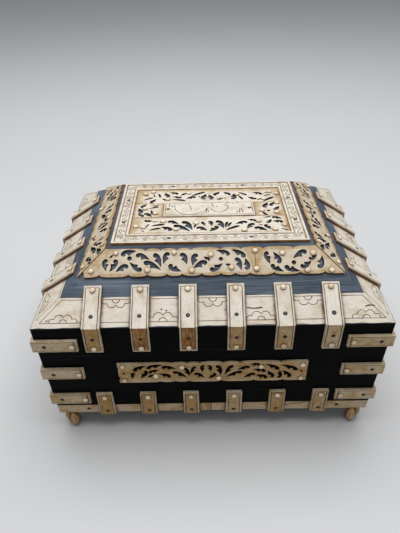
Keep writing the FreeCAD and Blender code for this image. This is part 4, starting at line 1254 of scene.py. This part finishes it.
RIM_BEVEL = 0.4
FRAME_TONE = (0.02, 0.1)
FRAME_SHADED_SIDE = 1.6
FRAME_LINE = 0.45
FRAME_LINE_INSET = 0.5
VINE_LINE = 0.55
VINE_PITCH = 9.0
VINE_SWING = 1.9
VINE_STEPS = 8
CURL_LINE = 0.5
CURL_RADIUS = 2.1
CURL_RISE = 1.1
CURL_STEPS = 16
CURL_TURNS = 1.35
CURL_TAPER = 0.72


def vine(piece, line, reach):
    """A wavy stem along a line, with a curl in each of its bends."""
    curls = round(2 * reach / VINE_PITCH)
    pitch = 2 * reach / curls
    stem = []
    for step in range(curls * VINE_STEPS + 1):
        u = -reach + step * pitch / VINE_STEPS
        stem.append((u, line + VINE_SWING * math.sin(math.pi * (u + reach) / pitch)))
    piece.draw(stem, VINE_LINE)
    for index in range(curls):
        centre = -reach + (index + 0.5) * pitch
        way = 1 if index % 2 else -1
        curl = []
        for step in range(CURL_STEPS + 1):
            angle = step / CURL_STEPS * CURL_TURNS * math.tau
            radius = CURL_RADIUS * (1 - CURL_TAPER * step / CURL_STEPS)
            rise = CURL_RISE + radius * math.sin(angle)
            curl.append((centre + radius * math.cos(angle), line + way * rise))
        piece.draw(curl, CURL_LINE)


def frame_bar(piece, side, outer, inner, rim, top, sunk):
    """A mitred bar of the top frame with a raised rim along both edges, and a vine on its sunk field."""
    turn, half, distance = SIDES[side]
    spin = Matrix.Rotation(math.radians(turn), 4, "Z") @ TOP
    profile = [(outer, 0), (outer, top - RIM_BEVEL), (outer + RIM_BEVEL, top), (outer + rim - RIM_BEVEL, top),
               (outer + rim, sunk), (inner - rim, sunk), (inner - rim + RIM_BEVEL, top),
               (inner - RIM_BEVEL, top), (inner, top - RIM_BEVEL), (inner, 0)]
    points = []
    for sign in (-1, 1):
        points += [(sign * (half - inset), inset - distance, level) for inset, level in profile]
    count = len(profile)
    faces = [tuple(range(count)), tuple(range(2 * count - 1, count - 1, -1)), *quads(count, 0, count)]
    # The outer and inner side faces take the darker side tone, a painted shade.
    zones = [SIDE, SIDE] + [INNER] * (count - 4) + [SIDE, SIDE]
    piece.add(Shell(points, faces, zones * 2), spin, tone=dice.uniform(*FRAME_TONE), side=FRAME_SHADED_SIDE)
    piece.draws_on(spin, sunk)
    vine(piece, (outer + inner) / 2 - distance, half - (outer + inner) / 2)
    for inset in (outer + rim + FRAME_LINE_INSET, inner - rim - FRAME_LINE_INSET):
        end = half - inset
        piece.rule((-end, inset - distance), (end, inset - distance), FRAME_LINE)


def top_frame():
    """The four bars of the top frame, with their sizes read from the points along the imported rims."""
    points = [point / MM for solid in islands("top_frame") for point in solid]
    levels = sorted({round(point.z, 2) for point in points})
    rows = sorted({round(abs(point.y), 2) for point in points if round(point.z, 2) == levels[-1]})
    outer = HALF_Y - rows[-1]
    inner = HALF_Y - rows[0]
    rim = rows[-1] - rows[-2]
    piece = Piece(BONE, LINE)
    for side in SIDES:
        frame_bar(piece, side, outer, inner, rim, levels[-1] - TOP_HIGH, levels[-2] - TOP_HIGH)
    piece.make("top_frame_bars", "lid", ["top_frame"])


# Engraving of the plaque: scrolls, straight marks and dots about its middle
PLAQUE_SCROLLS = (
    ((-33.2, 8.1), (-32.6, -0.6), (-28.5, -7.5), (-23.5, -10.8), (-16.6, -10.8), (-11, -9), (-7.2, -6.2)),
    ((-20, 8.8), (-17.9, 4.4), (-17, -2.5)),
    ((-2.2, 0), (-3.6, -4.5), (-7, -10)),
    ((-2.2, 0), (-2.2, -5), (-3.2, -10)),
    ((-2.2, 0), (-0.8, -4), (-0.4, -8)),
    ((2.8, 10.6), (3.8, 6.8), (4, 3)),
    ((1.8, -0.6), (5.2, -5.6), (10.2, -7.8), (14.6, -5.6), (18.4, 0), (18.0, 4.2), (15.5, 7.5)),
)
PLAQUE_MARKS = (
    ((26.5, -9.4), (27.4, -5.6)), ((29, -9.4), (30, -0.6)), ((32.4, -8.8), (31.5, 0)),
    ((-38.5, 10.4), (-38.5, 3.8)), ((-35.7, 7.5), (-35.7, 3.1)), ((-6.4, 5.6), (-5.4, 3.8)),
)
PLAQUE_DOTS = ((8, 3.8), (18.4, 10.6), (28.4, 10.6), (24.3, 9))
PLAQUE_BEVEL = 0.6
PLAQUE_TONE = 0.03
PLAQUE_BORDER = 1.9
BORDER_LINE = 0.45
SCROLL_LINE = 0.65
MARK_LINE = 0.8
MARK_PITCH = 1.5


def plaque():
    """The raised plate in the middle of the top, with a border, scrolls and a sprig between them."""
    part = whole_extent("top_plaque", TOP)
    low, high = part.high
    outline = hand_outline(rectangle(part.u0, part.u1, low, high), FINE_WOBBLE)
    piece = Piece(BONE, LINE)
    piece.add(plate(outline, [], part.w0, part.w1, PLAQUE_BEVEL), TOP, tone=PLAQUE_TONE, side=SHADED_SIDE)
    piece.draws_on(TOP, part.w1)
    corners = rectangle(part.u0 + PLAQUE_BORDER, part.u1 - PLAQUE_BORDER,
                        low + PLAQUE_BORDER, high - PLAQUE_BORDER)
    for start, end in zip(corners, corners[1:] + corners[:1]):
        piece.rule(start, end, BORDER_LINE)
    for scroll in PLAQUE_SCROLLS:
        piece.draw(open_curve(scroll), SCROLL_LINE)
    for mark in PLAQUE_MARKS:
        piece.draw(between(*mark, MARK_PITCH), MARK_LINE)
    for dot in PLAQUE_DOTS:
        piece.dot(dot, DOT_LINE)
    piece.make("engraved_plaque", "lid", ["top_plaque"])


# Pegs and nails: profiles in shares of the radius, with heights in shares for pegs, millimetres for nails
PEG_PROFILE = ((0, -0.3), (0.97, -0.3), (1, 0.16), (0.96, 0.42), (0.84, 0.7), (0.62, 0.89), (0.34, 0.975),
               (0, 1))
PEG_SIDES = 18
PEG_RADII = (0.94, 1.05)
PEG_HEIGHTS = (0.82, 1.0)
PEG_SQUASH = (0.9, 1.0)
PEG_TONES = (0.0, 0.0, 0.08, 0.15, 0.3, 0.5)
NAIL_PROFILE = ((0, -0.6), (1, -0.6), (1, 0.05), (0.6, 0.07), (0, 0.08))
NAIL_CORE = ((0, -0.3), (0.58, -0.3), (0.55, 0.1), (0.3, 0.15), (0, 0.16))
NAIL_STAIN = 1.28
NAIL_SIDES = 14
NAIL_RADII = (0.95, 1.05)
NAIL_SQUASH = (0.85, 1.0)


def seat(head):
    """The middle of a head on its face."""
    return head.face @ Matrix.Translation((head.u, head.v, head.level))


def pegs(node, name, body):
    """Domed bone pegs, each turned a little differently."""
    piece = Piece(PEG_BONE)
    for head in PEG_HEADS[node]:
        radius = head.radius * dice.uniform(*PEG_RADII)
        height = head.height * dice.uniform(*PEG_HEIGHTS)
        profile = [(share * radius, rise * height) for share, rise in PEG_PROFILE]
        spin = Matrix.Rotation(dice.uniform(0, math.tau), 4, "Z")
        shell = turned(profile, PEG_SIDES, (1, dice.uniform(*PEG_SQUASH)))
        piece.add(shell, seat(head) @ spin, tone=dice.choice(PEG_TONES), rounded=True)
    piece.make(name, body, [node])


def nails(node, name, body):
    """Iron nail ends, level with the bone: a dark stain, and on the lid a bare core in it; the nails on the
    walls stay dark all over as painted shade.
    """
    piece = Piece(IRON, WORN_IRON)
    for head in heads(node):
        radius = head.radius * NAIL_STAIN * dice.uniform(*NAIL_RADII)
        squash = (1, dice.uniform(*NAIL_SQUASH))
        # No pale core on the walls: painted shade.
        profiles = (NAIL_PROFILE,) if head.face in WALLS.values() else (NAIL_PROFILE, NAIL_CORE)
        for slot, profile in enumerate(profiles):
            shell = turned([(share * radius, rise) for share, rise in profile], NAIL_SIDES, squash)
            piece.add(shell, seat(head), slot=slot, rounded=True)
    piece.make(name, body, [node])


# Carved corner feet: a post, and a leaf lobe with an engraved outline on each of its two outer faces
POST_PROFILE = ((0, 0), (0.62, 0), (0.78, 0.1), (0.74, 0.34), (0.62, 0.55), (0.72, 0.74), (0.98, 0.92),
                (1, 1), (0, 1))
POST_SHARE = 0.62
POST_SIDES = 28
POST_TONE = 0.7
LOBE_PROFILE = ((0, 0.01), (0.34, 0.03), (0.66, 0.12), (0.92, 0.27), (1, 0.42), (0.93, 0.58), (0.72, 0.73),
                (0.5, 0.84), (0.42, 0.93), (0.46, 1.0), (0, 1.0))
LOBE_SHARE = 0.98
LOBE_SIDES = 24
LOBE_TONE = (0.1, 0.4)
LOBE_HALF_WIDTH = 4.0
LOBE_DEPTH = 4.3
FRONT_LOBE_REACH = 9.8
END_LOBE_REACH = 10.3
LOBE_LINE = (0.1, 0.2, 0.34, 0.48, 0.6, 0.7)
LOBE_LINE_WIDTH = 0.7
LOBE_LINE_SPREAD = 0.62
LOBE_LINE_START = 0.12
LOBE_LINE_SPLAY = 0.6
LOBE_LEAST_RADIUS = 0.2


def profile_radius(profile, share):
    """The radius of a turned profile at a share of its height."""
    for (low_radius, low), (high_radius, high) in zip(profile, profile[1:]):
        if low <= share <= high and high > low:
            return low_radius + (high_radius - low_radius) * (share - low) / (high - low)
    return 0.0


def lobe_line(height):
    """The engraved outline inside a lobe: points on its outer side and the ways that they face."""
    path = []
    normals = []
    sides = [(share, 1) for share in LOBE_LINE] + [(share, -1) for share in reversed(LOBE_LINE)]
    for share, sign in sides:
        radius = profile_radius(LOBE_PROFILE, share)
        across = sign * LOBE_LINE_SPREAD * math.sin(math.pi * (share + LOBE_LINE_START))
        out = math.sqrt(max(0.0, radius ** 2 - (across * radius) ** 2 / max(radius, LOBE_LEAST_RADIUS)))
        path.append(Vector((across * radius * LOBE_HALF_WIDTH, out * LOBE_DEPTH, share * height)))
        normals.append(Vector((across * LOBE_LINE_SPLAY, 1, 0)).normalized())
    return path, normals


def foot(name):
    """A carved bone foot for one corner."""
    low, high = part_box(f"foot_{name}")
    height = PLINTH[LOW].z / MM
    centre = (low + high) / 2
    radius = (high.x - low.x) / 2 / MM
    outward = Vector((math.copysign(1, centre.x), math.copysign(1, centre.y), 0))
    place = Matrix.Translation((centre.x, centre.y, 0)) @ Matrix.Scale(MM, 4)
    piece = Piece(FOOT_BONE, LINE)
    post = [(share * radius * POST_SHARE, rise * height) for share, rise in POST_PROFILE]
    piece.add(turned(post, POST_SIDES), place, tone=POST_TONE, upright=True, rounded=True)
    lobe = [(share, rise * height * LOBE_SHARE) for share, rise in LOBE_PROFILE]
    ways = ((Vector((0, outward.y, 0)), FRONT_LOBE_REACH), (Vector((outward.x, 0, 0)), END_LOBE_REACH))
    for out, reach in ways:
        turn = Matrix((out.cross(UPWARD), out, UPWARD)).transposed().to_4x4()
        here = place @ Matrix.Translation(out * (reach - LOBE_DEPTH)) @ turn
        shell = turned(lobe, LOBE_SIDES, (LOBE_HALF_WIDTH, LOBE_DEPTH))
        piece.add(shell, here, tone=dice.uniform(*LOBE_TONE), upright=True, rounded=True)
        piece.add(line_shell(*lobe_line(height), LOBE_LINE_WIDTH, True), here, slot=1)
    piece.make(f"{name}_carved_foot", "base", [f"foot_{name}"])


# Stage, light and camera

FLOOR_RADIUS = 14.0
FLOOR_SIDES = 48
LIGHT_AT = (0, 0.2, 1.7)
LIGHT_TARGET = (0, 0, 0.1)
LIGHT_SIZE = (1.9, 1.5)
LIGHT_POWER = 30.0
WORLD_COLOUR = (0.93, 0.96, 1.0, 1)
WORLD_STRENGTH = 0.3
FOCAL_PIXELS = 476.33
IMAGE_HEIGHT = 533.0
SENSOR = 36.0
CLIP = (0.01, 50.0)
CAMERA_AT = Vector((-7.63, -407.37, 400.93)) * MM
CAMERA_PITCH = math.radians(35.945)
CAMERA_YAW = math.radians(-0.304)
CAMERA_ROLL = math.radians(-1.219)


def camera():
    data = bpy.data.cameras.new("camera")
    data.sensor_width = SENSOR
    data.lens = FOCAL_PIXELS / IMAGE_HEIGHT * SENSOR
    data.clip_start, data.clip_end = CLIP
    turns = ((-CAMERA_YAW, "Z"), (math.pi / 2 - CAMERA_PITCH, "X"), (CAMERA_ROLL, "Z"))
    place = Matrix.Translation(CAMERA_AT)
    for angle, axis in turns:
        place = place @ Matrix.Rotation(angle, 4, axis)
    made = new_object("camera", data)
    made.matrix_world = place
    bpy.context.scene.camera = made


def floor():
    """A wide, level, pale disc."""
    rim = circle((0, 0), FLOOR_RADIUS, FLOOR_SIDES)
    mesh = bpy.data.meshes.new("floor")
    mesh.from_pydata([(x, y, 0) for x, y in rim], [], [tuple(range(len(rim)))])
    shader = Shader("pale_floor")
    here = shader.node("TexCoord", {}, "Object")
    colour = shader.mix(shader.noise(here, 3.0), (0.64, 0.65, 0.66), (0.68, 0.685, 0.69))
    mesh.materials.append(shader.finish(Base_Color=colour, Roughness=0.75))
    made = new_object("floor", mesh)


def lights():
    """A soft light overhead, and a pale world."""
    data = bpy.data.lights.new("overhead", "AREA")
    data.shape = "RECTANGLE"
    data.size, data.size_y = LIGHT_SIZE
    data.energy = LIGHT_POWER
    made = new_object("overhead", data)
    aim = Vector(LIGHT_TARGET) - Vector(LIGHT_AT)
    made.matrix_world = Matrix.Translation(LIGHT_AT) @ aim.to_track_quat("-Z", "Y").to_matrix().to_4x4()
    world = bpy.data.worlds.new("studio")
    world.use_nodes = True
    background = world.node_tree.nodes["Background"]
    background.inputs["Color"].default_value = WORLD_COLOUR
    background.inputs["Strength"].default_value = WORLD_STRENGTH
    bpy.context.scene.world = world


def main():
    dress_cad_nodes()
    for side in SIDES:
        strap_rows(side)
        eave_band(side)
        plinth_band(side)
        slope_fret(side)
        wall_fret(side)
    skirt_straps()
    corner_straps("base_corner_straps", "wall_corner_straps", "base")
    corner_straps("lid_corner_straps", "skirt_corner_straps", "lid")
    top_fret()
    top_frame()
    plaque()
    pegs("base_pegs", "wall_pegs", "base")
    pegs("lid_pegs", "roof_pegs", "lid")
    nails("base_nails", "wall_nails", "base")
    nails("lid_nails", "roof_nails", "lid")
    for name in ("front_left", "front_right", "back_left", "back_right"):
        foot(name)
    floor()
    lights()
    camera()
    bpy.context.scene.view_settings.view_transform = "Standard"


main()
